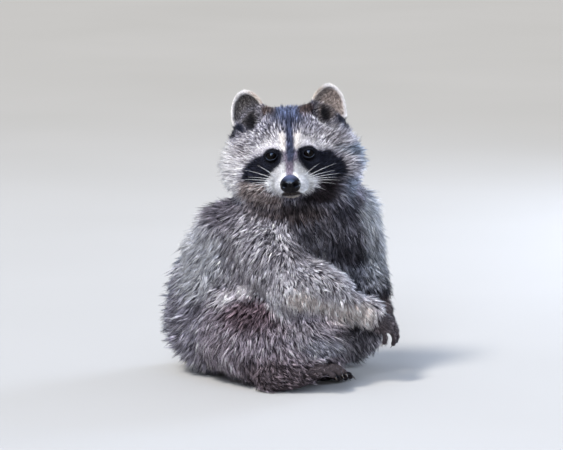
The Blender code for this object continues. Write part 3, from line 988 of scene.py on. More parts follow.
# Marks of the face: tone, softness of the edge, how far back it runs, and its outline in mm across
# and up in the head's frame. Later ones lie over earlier ones.
faceMarks = [
    # darker crown fur, with painted bluish sky light on top
    ("crown", 9, 50, [(-34, 90), (36, 90), (30, 58), (22, 46), (10, 38), (-6, 38), (-18, 46),
        (-26, 60)]),
    ("cheekWhite", 5, 110, [(-4, 27), (-16, 30), (-30, 28), (-45, 27), (-62, 23), (-78, 19), (-100, 8),
        (-110, -20), (-105, -50), (-84, -66), (-68, -52), (-63, -38), (-67, -24), (-60, -9), (-46, 3),
        (-33, 7), (-22, 12), (-12, 9), (-5, 5)]),
    ("cheekWhite", 5, 110, [(6, 26), (16, 29), (28, 26), (42, 21), (56, 13), (72, 9), (86, 13), (104, 4),
        (112, -16), (104, -36), (86, -32), (82, -14), (70, -4), (57, 3), (48, 6), (38, 5), (31, 9),
        (20, 12), (12, 9), (7, 6)]),
    ("browGrey", 6, 60, [(-15, 34), (-34, 33), (-62, 27), (-70, 14), (-58, 8), (-36, 16), (-17, 20)]),
    ("browGrey", 6, 60, [(14, 33), (30, 31), (46, 27), (64, 20), (62, 8), (46, 12), (30, 18), (15, 21)]),
    # painted cool rim light over the outer cheek on the animal's left
    ("cheekRimLit", 6, 90, [(60, 22), (80, 22), (96, 14), (101, -4), (100, -24), (84, -32), (78, -14),
        (68, -2), (58, 6)]),
    ("temple", 7, 60, [(40, 38), (62, 34), (84, 24), (84, 12), (72, 5), (56, 10), (44, 20)]),
    ("temple", 9, 60, [(-72, 22), (-56, 26), (-52, 8), (-62, -6), (-72, 2)]),
    ("cheekBlue", 7, 60, [(68, -30), (90, -30), (112, -30), (112, -60), (96, -84), (70, -84), (62, -60),
        (64, -42)]),
    ("temple", 5, 60, [(66, -2), (82, -8), (86, -30), (70, -32), (62, -20)]),
    ("jowlBrown", 5, 50, [(-68, -30), (-48, -30), (-32, -32), (-34, -44), (-22, -49), (-14, -53),
        (-16, -68), (-46, -72), (-76, -62)]),
    ("jowlDark", 6, 50, [(26, -30), (50, -32), (62, -29), (60, -44), (50, -60), (32, -68), (8, -66),
        (8, -54), (22, -48), (33, -42)]),
    ("mask", 1.6, 60, [(-47, -1), (-36, 2), (-30, 7), (-22, 10), (-13, 8), (-8, 2), (-9, -5), (-14, -13),
        (-21, -18), (-27, -24), (-31, -32), (-45, -34), (-60, -30), (-64, -23), (-58, -10)]),
    ("mask", 1.6, 60, [(8, 0), (9, 4), (12, 8), (19, 10), (29, 10), (36, 4), (44, 2), (52, 4), (56, -2),
        (66, -10), (70, -19), (71, -27), (63, -32), (48, -35), (35, -32), (26, -28), (21, -23),
        (16, -16), (11, -7)]),
    ("browWhite", 2.2, 30, [(-13, 28), (-4.5, 27), (-5, 5), (-11, 7)]),
    ("browWhite", 2.2, 30, [(6, 27), (15, 29), (13, 10), (7, 7)]),
    ("bridge", 3.0, 20, [(-5, 5), (7, 6), (9, 1), (8.4, -10), (6.6, -15), (4.8, -27), (-5.2, -27),
        (-6.2, -15), (-7.4, 1)]),
    ("stripe", 2.2, 40, [(-9, 48), (-4, 36), (-3.8, 7), (-4.2, 2), (-2.6, -9), (3.8, -9), (7.2, 2),
        (5.8, 8), (6, 36), (12, 48)]),
    ("muzzleWhite", 2.8, 30, [(-6.5, -9), (-21, -19), (-27, -26), (-34, -34), (-34, -42), (-22, -49),
        (-15, -52), (-9, -48), (0, -47), (9, -48), (12, -51), (20, -48.5), (32, -42), (33, -34),
        (23, -25), (15, -16), (6.5, -9), (6.2, -15), (4.8, -27), (-5.2, -27), (-6.0, -15)]),
    # the dark lips with painted shadow under the nose
    ("lipAndShadow", 1.0, 10, [(-13, -49), (-9, -46.5), (0, -45), (9, -46.5), (13, -49), (12, -51), (0, -52),
        (-12, -51)]),
    ("chinPale", 0.8, 14, [(-13, -51.2), (0, -52.4), (14, -51), (13, -55.5), (0, -57.5), (-12, -56)]),
]

# Balls of another tone in the head's frame: tone, centre, radii, strength
headSpots = [
    ("throatDark", (0, -18, -68), (44, 44, 12), 0.9),
    ("earInside", (-54, 58, 52), (18, 22, 20), 0.9),
    ("earWarm", (47, 56, 58), (18, 22, 20), 0.9),
    # painted shade of the ear's hollow, on the head at the base of each ear
    ("earHollowShade", (-50, 50, 45), (8, 22, 15), 0.9),
    ("earHollowShade", (47, 48, 51), (8, 22, 14), 0.95),
    ("mask", (-70, 44, 35), (15, 26, 14), 1.0),
    ("mask", (75, 42, 42), (18, 28, 18), 1.0),
    ("tuftBrown", (-28, 28, 58), (12, 22, 13), 0.95),
    ("tuftBrown", (25, 25, 57), (13, 24, 15), 1.0),
]

# The same on the body, in mm in the model's own frame
bodySpots = [
    ("flank", (-95, -20, 165), (50, 60, 44), 0.9),
    ("grey", (-30, -70, 160), (46, 50, 40), 0.7),
    ("shoulderEdge", (-73, -45, 222), (28, 50, 24), 0.9),
    ("breast", (-4, -70, 195), (40, 50, 24), 0.8),
    ("chestDark", (40, -60, 205), (34, 50, 26), 0.75),
    ("throat", (8, -70, 232), (60, 60, 16), 0.85),
    ("throatDark", (12, -88, 243), (34, 30, 12), 0.95),
    # painted shade over the far arm
    ("farArmShade", (85, -20, 185), (36, 50, 46), 0.9),
    ("armLow", (98, -20, 132), (30, 50, 24), 0.9),
    # painted rim light along the outer edge of the far arm
    ("armRimLight", (129, -32, 188), (24, 62, 66), 0.72),
    ("armRimLight", (118, -40, 222), (20, 46, 28), 0.8),
    ("haunch", (-110, -10, 80), (44, 60, 46), 0.8),
    ("flank", (-108, -20, 128), (30, 50, 26), 0.8),
    ("chestDark", (24, -85, 178), (22, 40, 16), 0.7),
    ("neckDark", (80, -60, 236), (22, 40, 18), 0.85),
    ("hipBrown", (-37, -88, 93), (44, 48, 23), 0.95),
    ("thighLow", (-10, -120, 22), (60, 50, 24), 0.95),
    ("knee", (36, -112, 72), (32, 40, 20), 0.85),
    # painted shade over the far knee
    ("farLegShade", (86, -90, 60), (26, 50, 24), 0.9),
    ("shin", (54, -112, 55), (26, 30, 14), 0.85),
]

# Bands of another tone along a line: tone, points, half width, softness, strength
bodyLines = [
    ("cream", [(22, -126, 120), (42, -120, 110), (66, -112, 100), (90, -98, 95), (108, -84, 94)], 12, 8, 0.9),
    ("armTop", [(20, -125, 158), (45, -112, 154), (70, -98, 140), (92, -84, 124)], 8, 8, 0.6),
    ("arc", [(-78, -62, 107), (-68, -64, 117), (-51, -66, 124), (-35, -72, 125), (-17, -88, 120),
             (-5, -102, 110), (7, -114, 96)], 6, 6, 0.8),
    ("arc", [(-48, -60, 125), (-36, -67, 127), (-22, -76, 123)], 7, 6, 1.0),
]


def outlineDistance(x, z, outline):
    # positive inside
    a = np.array(outline, float)
    b = np.roll(a, -1, axis=0)
    best = np.full(len(x), 1e9)
    inside = np.zeros(len(x), bool)
    for (ax, az), (bx, bz) in zip(a, b):
        dx, dz = bx - ax, bz - az
        t = np.clip(((x - ax) * dx + (z - az) * dz) / (dx * dx + dz * dz), 0, 1)
        best = np.minimum(best, np.hypot(x - ax - t * dx, z - az - t * dz))
        crosses = (az > z) != (bz > z)
        inside ^= crosses & (x < ax + (z - az) * dx / (dz if dz else 1e-9))
    return np.where(inside, best, -best)


def blendTone(fields, tone, weight):
    return fields + (toneValues[tone] - fields) * weight[:, None]


dorsal = {"way": (-0.80, 0.60, 0.0), "start": 0.52, "full": 0.80, "most": 0.9}
# degrees round the tail's curl; "dark" is each ring's share of its spacing
tailRings = {"pivot": (-1, 45), "first": 150, "spacing": 27, "dark": 0.46, "soft": 0.07, "tip": 34}


def tailTone(fields, points, share):
    x, y = (points[:, :2] / mm - tailRings["pivot"]).T
    angle = np.degrees(np.arctan2(y, x))
    turn = (tailRings["first"] - angle) / tailRings["spacing"] % 1
    dark, soft = tailRings["dark"], tailRings["soft"]
    ring = step(0.0, soft, turn) * (1 - step(dark, dark + soft, turn))
    ring = np.maximum(ring, 1 - step(tailRings["tip"] - 4, tailRings["tip"], angle))
    return blendTone(fields, "tailDark", ring * share)


def earTone(fields, points, side, onEar, front):
    # across and up the ear, as shares of its half sizes
    x, _, z = (within(earFrame(side), points) / ears["half"]).T
    fields = blendTone(fields, "earBack", onEar * (1 - front))
    if side > 0:
        fields = blendTone(fields, "earWarm", onEar * front)
    # painted shade deep in the ear's hollow, larger on one side
    (wide, high), (aside, up) = ears["hollow"][side], ears["hollowAt"]
    hollow = 1 - step(0.5, 1.35, np.hypot((x - aside * side) / wide, (z - up) / high))
    fields = blendTone(fields, "earHollowShade", hollow * onEar * front * 0.95)
    aside, up = ears["inner"]
    inner = step(*aside, x * side) * step(*up, z)
    fields = blendTone(fields, "earBrown", inner * onEar * 0.8)
    out, up = ears["rim"]
    rim = step(*out, np.hypot(x, z)) * step(*up, z) * onEar
    fields = blendTone(fields, "earRim", rim)
    return blendTone(fields, "earCream", rim * step(*ears["cream"], x * side) * 0.75)


def colour(fields, points, normals, onHead, onEar, onTail):
    # fields: tip, root and dark share of each hair, or of each point of the skin
    onBody = (1 - onHead) * (1 - onEar) * (1 - onTail)
    back = step(dorsal["start"], dorsal["full"], normals @ unit(np.array(dorsal["way"])))
    fields = blendTone(fields, "dorsal", back * dorsal["most"] * onBody)
    for tone, centre, radii, strength in bodySpots:
        fields = blendTone(fields, tone, spotWeight(points / mm, centre, radii) * strength * onBody)
    for tone, line, half, soft, strength in bodyLines:
        weight = 1 - step(half - soft / 2, half + soft, lineDistance(points / mm, line))
        fields = blendTone(fields, tone, weight * strength * onBody)
    fields = tailTone(fields, points, onTail)
    h = toHead(points)
    for tone, soft, deep, outline in faceMarks:
        inside = step(-soft, soft, outlineDistance(h[:, 0], h[:, 2], outline))
        fields = blendTone(fields, tone, inside * onHead * (1 - step(deep - 15, deep + 5, h[:, 1])))
    for tone, centre, radii, strength in headSpots:
        fields = blendTone(fields, tone, spotWeight(h, centre, radii) * strength * onHead)
    fields = blendTone(fields, "lid", onHead * (1 - step(*lids["furFrom"], eyeDistance(h))))
    front = step(*ears["front"], (normals @ headTurn)[:, 1])
    for side in (1, -1):
        fields = earTone(fields, points, side, onEar * (h[:, 0] * side > 0), front)
    return fields


# the lie of the coat

limbs = ("upper_arm", "forearm", "hand"), ("thigh", "shank", "foot")
chains = [["head", "neck", "chest", "abdomen", "pelvis", "tail_1", "tail_2", "tail_3", "tail_4"]]
chains += [[f"{part}_{side}" for part in limb] for limb in limbs for side in ("right", "left")]

# A comb laid on the coat: where, how far it reaches, which way it pulls, and how strongly.
# All in mm in the model's frame.
combings = [
    ((-86, -50, 134), (46, 60, 46), (-0.5, 0.1, -0.85), 1.0),
    ((-104, -10, 160), (60, 70, 70), (-0.45, 0.3, -0.85), 0.7),
    ((-20, -70, 180), (50, 50, 40), (-0.35, -0.1, -0.9), 0.6),
    ((60, -70, 190), (50, 60, 50), (0.35, -0.1, -0.9), 0.7),
    ((100, -10, 200), (46, 60, 60), (0.55, -0.15, -0.8), 0.8),
    ((50, -110, 115), (60, 50, 34), (0.12, 0.1, -1.0), 0.9),
    ((-80, -80, 80), (40, 50, 50), (-0.5, 0.1, -0.85), 1.0),
    ((-30, -120, 70), (34, 40, 50), (-0.02, -0.05, -1.0), 1.0),
    ((30, -110, 50), (40, 40, 40), (0.5, -0.05, -0.85), 0.9),
    ((60, -90, 70), (36, 50, 26), (0.95, 0.1, -0.3), 0.8),
    ((90, -30, 60), (50, 50, 40), (0.8, 0.1, -0.6), 0.7),
]

# where the coat doesn't run straight on to the next part
ownFlow = {"upper_arm_right": (-0.5, -0.05, -0.85), "forearm_right": (0.35, -0.05, -0.9)}


def centreOf(node):
    return pointsOf(nodes[node].data).mean(0)


def partFlow():
    flow = {}
    for chain in chains:
        for i, name in enumerate(chain):
            a, b = (chain[i], chain[i + 1]) if i + 1 < len(chain) else (chain[i - 1], chain[i])
            flow[name] = unit(centreOf(b) - centreOf(a))
    for name, way in ownFlow.items():
        flow[name] = unit(np.array(way))
    for name, side in (("ear_left", 1), ("ear_right", -1)):
        flow[name] = headTurn @ np.array([0.1 * side, 0, 1])
    return flow


# on the head it runs away from a point behind the nose, more to the sides, and down the ruff
headLie = {"from": (0, -52, -36), "wide": 1.25, "behind": (30, 70), "below": (0, -40), "aside": (12, 40)}


def lieFlat(flow, normals):
    return flow - normals * np.sum(flow * normals, axis=1, keepdims=True)


def lieOfCoat(points, normals, owners, edges):
    flow = perPart(partFlow(), owners)
    onBody = whereOn(("head", "ear"), 0, 1, owners)
    for centre, radii, way, strength in combings:
        weight = (spotWeight(points / mm, centre, radii) * strength * onBody)[:, None]
        flow = flow * (1 - weight) + unit(np.array(way, float)) * weight
    onHead = owners == fleshParts.index("head")
    h = toHead(points[onHead])
    back = step(*headLie["behind"], h[:, 1])[:, None]
    low = (step(*headLie["below"], h[:, 2]) * step(*headLie["aside"], np.abs(h[:, 0])))[:, None]
    away = unit(h - headLie["from"]) * [headLie["wide"], 1, 1]
    flow[onHead] = (away + low * [0, 0, -0.35] + back * [0, 0.2, -1.1]) @ headTurn.T
    for rounds in (30, 12):
        flow = spread(unit(lieFlat(flow, normals)), edges, rounds)
    return unit(lieFlat(flow, normals))


def readSkin(obj):
    # what the coat needs to know at each point of the skin
    points, edges, triangles = readMesh(obj)
    normals, owners = normalsOf(points, triangles), ownersOf(points)
    isHead, isEar, isTail = (whereOn(part, 1, 0, owners) for part in ("head", "ear", "tail"))
    onHead, onTail = spread(np.stack([isHead, isTail], 1), edges, 6).T
    tone = {name: toneValues[partCoats[kindOf(name)][1]] for name in fleshParts}
    return {
        "points": points,
        "triangles": triangles,
        "normals": normals,
        "owners": owners,
        "onHead": onHead * (1 - isEar),
        "onEar": isEar,
        "onTail": onTail,
        "hair": hairFields(points, owners, edges, 16),
        "flow": lieOfCoat(points, normals, owners, edges),
        "tone": spread(perPart(tone, owners), edges, 24),
    }


skinObject = buildSkin()
hide = readSkin(skinObject)
report("lie and tones of the coat worked out")


# coat: one joined mesh of solid tufts for each part of the body

# each pair is for a whole lock and for a hair in it, unless its note says otherwise
tufts = {
    "crowding": 1.4,  # how strongly finer hairs stand closer
    "lengthVary": ((0.62, 1.25), (0.8, 1.1)),
    "widthVary": (0.7, 1.2),  # the least and the most
    "yaw": (13, 5),  # degrees that they stray from the lie of the coat
    "lift": (6, 3),
    "swirl": (9, 0.035),  # degrees that whole patches stray, and their size in metres
    "shade": (0.48, 0.18),  # how far they are lighter or darker
    "blotch": (0.1, 0.03),  # and whole patches, and their size in metres
    "darkBy": (0.7, 0.3),  # how far the lock, and the hair, settles whether it ends dark
    "bend": (9, -7),  # degrees that the lower and upper stretch of a hair differ from its lift
    "lower": 0.4,  # the lower stretch's share of its length
    "middle": 0.45,  # where along it the marks are read
    "pull": (0.6, 1.1),  # how far its tip gathers to its leader's, the least and the most
    "pullLower": 0.2,  # and its middle
    "sunk": (0.12, 0.6),  # the root is under the skin by this share of the length, at most so many mm
    "flat": 0.55,  # thickness over width
    "width": 0.85,
    "darkLonger": 1.1,
    "under": {"share": 0.38, "length": 0.55, "width": 1.3},  # the woolly hairs between
    "patch": 0.003,  # of each tuft on the map
    "lowest": (0.4, 0.8),  # mm above the floor, and how much more at most
}

# faces and patch of the map of a short tuft, with four corners, and of a long one, with five
tuftForms = {
    4: ([(0, 2, 1), (0, 1, 3), (1, 2, 3), (2, 0, 3)], [(0, 0), (0, 0.5), (0, 1), (1, 0.5)]),
    5: ([(0, 2, 1), (0, 3, 2), (0, 1, 3), (1, 2, 4), (2, 3, 4), (3, 1, 4)],
        [(0, 0.5), (0.45, 0), (0.45, 0.5), (0.45, 1), (1, 0.5)]),
}

# shares of the root's own tone, or of the way from it to the tip's
shades = {"root": 0.55, "shortRoot": 0.2, "middle": 0.38, "darkMiddle": 0.26, "underMiddle": 0.9,
          "darkTip": 0.6, "underTip": 0.1}

# each piece: number of tufts, how many gather to a lock, how tightly, how uneven the locks are,
# and whether the tufts are short spikes
coats = {
    "coatBrow": (49000, 5, 0.45, 1.2, True),
    "coatMuzzle": (34000, 6, 0.45, 0.7, True),
    "coatHead": (32000, 3.5, 0.5, 0.8, False),
    "coatEars": (14000, 3, 0.2, 0.6, True),
    "coatNeck": (14000, 5, 0.85, 1, False),
    "coatChest": (21000, 5, 0.85, 1, False),
    "coatBelly": (18000, 5, 0.85, 1, False),
    "coatRump": (19000, 5, 0.85, 1, False),
    "coatRightArm": (24000, 5, 0.85, 1, False),
    "coatLeftArm": (14000, 5, 0.85, 1, False),
    "coatRightLeg": (25000, 5, 0.85, 1, False),
    "coatLeftLeg": (10000, 5, 0.85, 1, False),
    "coatTail": (10500, 5, 0.5, 0.8, False),
    "coatPaws": (24000, 4, 0.35, 1.0, True),
}
# mm: the head's hair shorter than this is in two pieces, which part this far above the eyes
shortHair = {"under": 7, "partAt": -4}


def coatOfTriangles():
    table = [partCoats[kindOf(name)][0] for name in fleshParts]
    corner = hide["triangles"][:, 0]
    found = np.array(table)[hide["owners"][corner]]
    short = (found == "coatHead") & (hide["hair"][corner, 0] < shortHair["under"])
    above = toHead(hide["points"])[corner, 2] > shortHair["partAt"]
    found[short & above] = "coatBrow"
    found[short & ~above] = "coatMuzzle"
    return found


def unwrap(points, triangles):
    # where each corner of these triangles lies on a flat unwrap of them
    used, index = np.unique(triangles, return_inverse=True)
    mesh = meshFrom("unwrapped", points[used], index.reshape(-1, 3))
    mesh.uv_layers.new(name="OFBake")
    obj = newObject("unwrapped", mesh)
    bpy.context.view_layer.objects.active = obj
    obj.select_set(True)
    bpy.ops.object.mode_set(mode="EDIT")
    bpy.ops.mesh.select_all(action="SELECT")
    bpy.ops.uv.smart_project(angle_limit=math.radians(60), island_margin=0.002)
    bpy.ops.object.mode_set(mode="OBJECT")
    flat = readFlat(mesh.uv_layers["OFBake"].data, "uv", 2, np.float32)
    bpy.data.objects.remove(obj)
    return flat.reshape(-1, 3, 2)


def turned(vectors, axes, angles):
    c, s = np.cos(angles)[:, None], np.sin(angles)[:, None]
    return vectors * c + np.cross(axes, vectors) * s


# no hair on the lids' opening, the nose, the soles and palms, or where the model rests on the floor
bareAt = {
    "floor": 0.004,  # metres
    "lid": 0.4,  # mm past the opening
    "nose": ((0, -53, -36), (12.5, 8.5, 11.5)),
    "paw": {"long": 110, "high": 26, "hand": -0.1, "foot": -0.5},  # mm; how far it must face down
}


def bare(points, normals):
    h = toHead(points)
    skip = (points[:, 2] < bareAt["floor"]) & (normals[:, 2] < -0.6)
    wide, high = lids["wide"] + bareAt["lid"], lids["high"] + bareAt["lid"]
    paw = bareAt["paw"]
    for side in (1, -1):
        depth, a, b = fromEye(h, side)
        skip |= ((a / wide) ** 2 + (b / high) ** 2 < 1) & (depth > -6)
    for name in paws:
        place = pawFrame(name)
        local = within(place, points)
        palm = normals @ np.array(place.to_3x3())[:, 2] < paw[kindOf(name)]
        near = np.linalg.norm(local, axis=1) < paw["long"]
        skip |= palm & near & (local[:, 0] > 0) & (np.abs(local[:, 2]) < paw["high"])
    centre, half = bareAt["nose"]
    return skip | (np.linalg.norm((h - centre) / half, axis=1) < 1)


def scatter(rng, triangles, count):
    # places spread evenly over the triangles, and closer where the hair is finer
    a, b, c = (hide["points"][triangles[:, i]] for i in range(3))
    area = np.linalg.norm(np.cross(b - a, c - a), axis=1)
    total = np.cumsum(area / hide["hair"][triangles[:, 0], 1] ** tufts["crowding"])
    pick = np.searchsorted(total, (np.arange(count) + rng.random(count)) / count * total[-1])
    pick = np.minimum(pick, len(triangles) - 1)
    share = rng.random((count, 2))
    over = share.sum(1) > 1
    share[over] = 1 - share[over]
    return pick, np.concatenate([share, 1 - share.sum(1, keepdims=True)], 1)[:, :, None]


def tonesAlong(tip, root, shade, dark, under, short):
    # the tone at each corner of every tuft, from root to tip, darkest at the root
    rise = tip - root
    end = np.where(dark, root * shades["darkTip"], tip) * shade
    end = np.where(under, root + rise * shades["underTip"], end)
    if short:
        return [(root + rise * shades["shortRoot"]) * shade] * 3 + [end]
    middle = (root + rise * np.where(dark, shades["darkMiddle"], shades["middle"])) * shade
    middle = np.where(under, root * shades["underMiddle"], middle)
    return [root * shades["root"]] + [middle] * 3 + [end]


def tuftMesh(name, rows, hairTones, uv, material):
    # rows: the points of every tuft, one array for each corner, from root to tip
    faces, patch = tuftForms[len(rows)]
    faces = (np.arange(len(uv))[:, None, None] * len(rows) + np.array(faces)[None]).reshape(-1, 3)
    obj = newObject(name, meshFrom(name, np.stack(rows, 1).reshape(-1, 3), faces), material)
    addAttribute(obj, "coatTint", np.clip(np.stack(hairTones, 1), 0, 1))
    # each tuft has its own small patch of the map
    spots = uv[:, None, :] + (np.array(patch)[None] - 0.5) * tufts["patch"]
    corner = np.clip(spots.reshape(-1, 2)[faces.ravel()], 0, 1)
    obj.data.uv_layers.new(name="OFBake").data.foreach_set("uv", corner.astype(np.float32).ravel())
    finishPiece(obj, "coat_grey")
    report(f"{name}: {len(uv)} tufts, {len(faces)} triangles")


def growCoat(name, chosen, material):
    rng = np.random.default_rng(sum(map(ord, name)))
    count, perLock, gather, uneven, short = coats[name]
    triangles = hide["triangles"][chosen]
    flat = unwrap(hide["points"], triangles)
    pick, weights = scatter(rng, triangles, count)

    def at(field):
        values = hide[field][triangles[pick]]
        return ((values if values.ndim == 3 else values[:, :, None]) * weights).sum(1)

    roots, normals = at("points"), unit(at("normals"))
    keep = ~bare(roots, normals)
    roots, normals = roots[keep], normals[keep]
    uv = (flat[pick] * weights).sum(1)[keep]
    flow = unit(at("flow"))[keep]
    length, width, lift = at("hair")[keep].T
    tone = at("tone")[keep]
    onHead, onEar, onTail = (at(field)[keep, 0] for field in ("onHead", "onEar", "onTail"))
    count = len(roots)

    # locks: each hair follows the nearest leader
    leaders = rng.permutation(count)[: int(count / perLock)]
    lock = nearestOf(roots[leaders], roots)
    leader = leaders[lock]

    def vary(amounts):
        whole, own = amounts
        return rng.normal(0, whole * uneven, len(leaders))[lock] + rng.normal(0, own, count)

    most, size = tufts["swirl"]
    yaw = np.radians(waves(roots, size, 5) * most + vary(tufts["yaw"]))
    flow = unit(turned(flow, normals, yaw))
    lift = lift + vary(tufts["lift"])
    whole, own = tufts["lengthVary"]
    length = length * rng.uniform(*whole, len(leaders))[lock] * rng.uniform(*own, count)
    middles = roots + flow * length[:, None] * tufts["middle"] * mm
    tone = colour(tone, middles, normals, onHead, onEar, onTail)
    tip, rootTone, darkShare = tone[:, :3], tone[:, 3:6], tone[:, 6]
    under = rng.random(count) < tufts["under"]["share"]
    whole, own = tufts["darkBy"]
    dark = ~under & (rng.random(len(leaders))[lock] * whole + rng.random(count) * own < darkShare)
    length = length * np.where(dark, tufts["darkLonger"], 1) * np.where(under, tufts["under"]["length"], 1)
    width = width * np.where(under, tufts["under"]["width"], tufts["width"])

    def along(angle):
        angle = np.radians(angle)[:, None]
        return flow * np.cos(angle) + normals * np.sin(angle)

    # each hair: in two stretches, its tip drawn towards its leader's
    reach = length[:, None] * mm
    part, most = tufts["sunk"]
    start = roots - normals * np.minimum(most, part * length)[:, None] * mm
    first, second = tufts["bend"]
    middle = start + along(lift + first) * reach * tufts["lower"]
    end = middle + along(lift + second) * reach * (1 - tufts["lower"])
    pull = (gather * rng.uniform(*tufts["pull"], count) * ~under)[:, None]
    goal = end[leader] * (1 - under[leader, None]) + end * under[leader, None]
    end = end + (goal - end) * pull
    middle = middle + (goal - end) * pull * tufts["pullLower"]
    lowest, more = tufts["lowest"]
    for p in (middle, end):
        p[:, 2] = np.maximum(p[:, 2], lowest * mm + rng.uniform(0, more, count) * mm)

    side = unit(np.cross(unit(end - start), normals))
    above = np.cross(side, unit(end - start))
    half = (width * rng.uniform(*tufts["widthVary"], count) / 2)[:, None] * mm

    def ring(centre):
        corners = (0.0, 1.0), (-0.87, -0.5), (0.87, -0.5)
        return [centre + (side * x + above * y * tufts["flat"]) * half for x, y in corners]

    most, size = tufts["blotch"]
    shade = np.exp(vary(tufts["shade"]) + most * waves(roots, size, 9))[:, None]
    hairTones = tonesAlong(tip, rootTone, shade, dark[:, None], under[:, None], short)
    rows = [*ring(start), end] if short else [start, *ring(middle), end]
    tuftMesh(name, rows, hairTones, uv, material)


def tintedMaterial(name, settings):
    material, tree, shader = newMaterial(name)
    tint = addNode(tree, "ShaderNodeAttribute", {"attribute_name": "coatTint"})
    setNode(shader, settings, {"Base Color": (tint, "Color")})
    return material, tree, shader


def hairMaterial():
    # guard hair: a keratin strand with a soft satin shine, tinted along its length
    return tintedMaterial("guardHair", {"Roughness": 0.5, "IOR": 1.55, "Specular IOR Level": 0.08})[0]


def hideMaterial():
    # the hide under the coat, matt, with its short underfur as a fine grain
    finish = {"Roughness": 0.8, "Specular IOR Level": 0.04}
    material, tree, shader = tintedMaterial("hideWithUnderfur", finish)
    where = addNode(tree, "ShaderNodeTexCoord")
    pores = addNode(tree, "ShaderNodeTexNoise", {"Scale": 900}, {"Vector": (where, "Object")})
    bump = addNode(tree, "ShaderNodeBump", {"Strength": 0.35, "Distance": 0.0006}, {"Height": (pores, "Fac")})
    setNode(shader, links={"Normal": (bump, "Normal")})
    return material


def wetLineGlint(h):
    # the moist edge of the lower lids, where a pale bluish reflection is painted into the skin
    best = np.zeros(len(h))
    for side in (1, -1):
        depth, a, b = fromEye(h, side)
        a, b = a / lids["wide"], b / lids["high"]
        edge = dip(a**2 + b**2 - lids["glintAt"], lids["glintWide"]) * step(0.1, -0.7, b) * (depth > 0)
        best = np.maximum(best, edge)
    return best[:, None]


hideTone = {"root": 0.8, "tip": 0.1, "wet": ("727f98", 0.5)}  # shares of the coat's own tones, and the tone and strength of the painted reflection on the moist lower lids


def tintSkin(obj):
    fields = colour(*(hide[field] for field in ("tone", "points", "normals", "onHead", "onEar", "onTail")))
    tints = fields[:, 3:6] * hideTone["root"] + fields[:, :3] * hideTone["tip"]
    # a pale bluish reflection painted along the moist edge of the lower lids
    wet, most = hideTone["wet"]
    tints += (np.array(linear(wet)) - tints) * wetLineGlint(toHead(hide["points"])) * most
    addAttribute(obj, "coatTint", tints)
    obj.data.materials.clear()
    obj.data.materials.append(hideMaterial())


tintSkin(skinObject)
finishPiece(skinObject, "coat_grey", *fleshParts)
hair = hairMaterial()
coatRegion = coatOfTriangles()
for coatName in coats:
    growCoat(coatName, coatRegion == coatName, hair)


# eyes

# the cornea's bulge in mm, then in degrees how far it, the pupil and the iris reach
eye = {"swell": 0.55, "cornea": 34, "pupil": 17, "iris": 42}


def eyeMaterial():
    # a wet dark-brown eye, nearly black, under a clear cornea
    material, tree, shader = newMaterial("wetEye")
    out = addNode(tree, "ShaderNodeAttribute", {"attribute_name": "eyeOut"})
    around = addNode(tree, "ShaderNodeAttribute", {"attribute_name": "eyeAround"})
    place = addNode(tree, "ShaderNodeCombineXYZ", links={"X": (around, "Fac"), "Y": (out, "Fac")})
    stretch = addNode(tree, "ShaderNodeMapping", {"Scale": (34, 3, 1)}, {"Vector": (place, "Vector")})
    fibres = addNode(tree, "ShaderNodeTexNoise", {"Scale": 1.0, "Detail": 4}, {"Vector": (stretch, "Vector")})
    iris = addNode(tree, "ShaderNodeValToRGB", {"ends": ("040304", "0c0706")}, {"Fac": (fibres, "Fac")})
    zones = addNode(tree, "ShaderNodeValToRGB", links={"Fac": (out, "Fac")})
    stops = zones.color_ramp.elements
    stops[0].position, stops[0].color = eye["pupil"] / 90, (0.02, 0.02, 0.02, 1)
    stops[1].position, stops[1].color = eye["pupil"] / 90 + 0.03, (1, 1, 1, 1)
    for position, value in ((eye["iris"] / 90 - 0.05, 0.8), (eye["iris"] / 90, 0.1), (0.8, 0.25)):
        stops.new(position).color = (value, value, value, 1)
    mix = addNode(tree, "ShaderNodeMix", {"data_type": "RGBA", "blend_type": "MULTIPLY", "Factor": 1},
                  {6: (iris, "Color"), 7: (zones, "Color")})
    setNode(shader, {"Roughness": 0.03, "IOR": 1.33, "Specular IOR Level": 0.2}, {"Base Color": (mix, 2)})
    return material


def makeEyes():
    material = eyeMaterial()
    for side, name in ((1, "left"), (-1, "right")):
        ahead, across, up = eyeAxes(side)
        bm = bmesh.new()
        bmesh.ops.create_icosphere(bm, subdivisions=6, radius=1)
        ways = np.array([v.co for v in bm.verts])
        angle = np.degrees(np.arccos(np.clip(ways @ ahead, -1, 1)))
        radius = head["eyeRadius"] - 0.15 + eye["swell"] * (1 - step(0, eye["cornea"], angle))
        places = fromHead(np.array([side * head["eyeSpacing"], 0, 0]) + ways * radius[:, None])
        for vert, place in zip(bm.verts, places):
            vert.co = place
        obj = objectFrom(bm, f"eye{name.title()}", material)
        obj.data.shade_smooth()
        addAttribute(obj, "eyeOut", angle / 90)
        addAttribute(obj, "eyeAround", np.arctan2(ways @ up, ways @ across) / math.pi)
        finishPiece(obj, "eye_glass", f"eye_{name}")


makeEyes()


# nose: a bare pad, widest across the nostrils, narrowing up into the bridge, with a painted bluish reflection
# on its top

nosePad = {
    "at": (0, -49.5, -36.6),
    "half": (13.2, 10.2, 11.6),
    "square": 0.06,
    "top": 0.2,  # how far it narrows upwards
    "back": 0.35,  # how much deeper its top is over the bridge
    "flat": 0.12,  # and how much flatter its front is below
    "lean": (3.2, 2.2),  # mm that the top and the bottom lie back
    # painted reflection: the bluish sheen the top of the pad would catch from above
    "dry": "4b5270",
    # mm: how far out and up from the middle, how wide and how deep
    "nostril": {"out": 6.3, "up": -1.6, "wide": 2.5, "deep": 4.6, "oval": 1.15},
    "rim": {"out": 4.4, "wide": 1.7, "high": 0.7},  # the swelling round it
    "slit": {"starts": 5.5, "ends": 12.4, "up": -2.4, "wide": 1.05, "deep": 2.2, "long": 5.5, "rises": 0.8},
    "groove": {"wide": 0.75, "deep": 1.3},
}


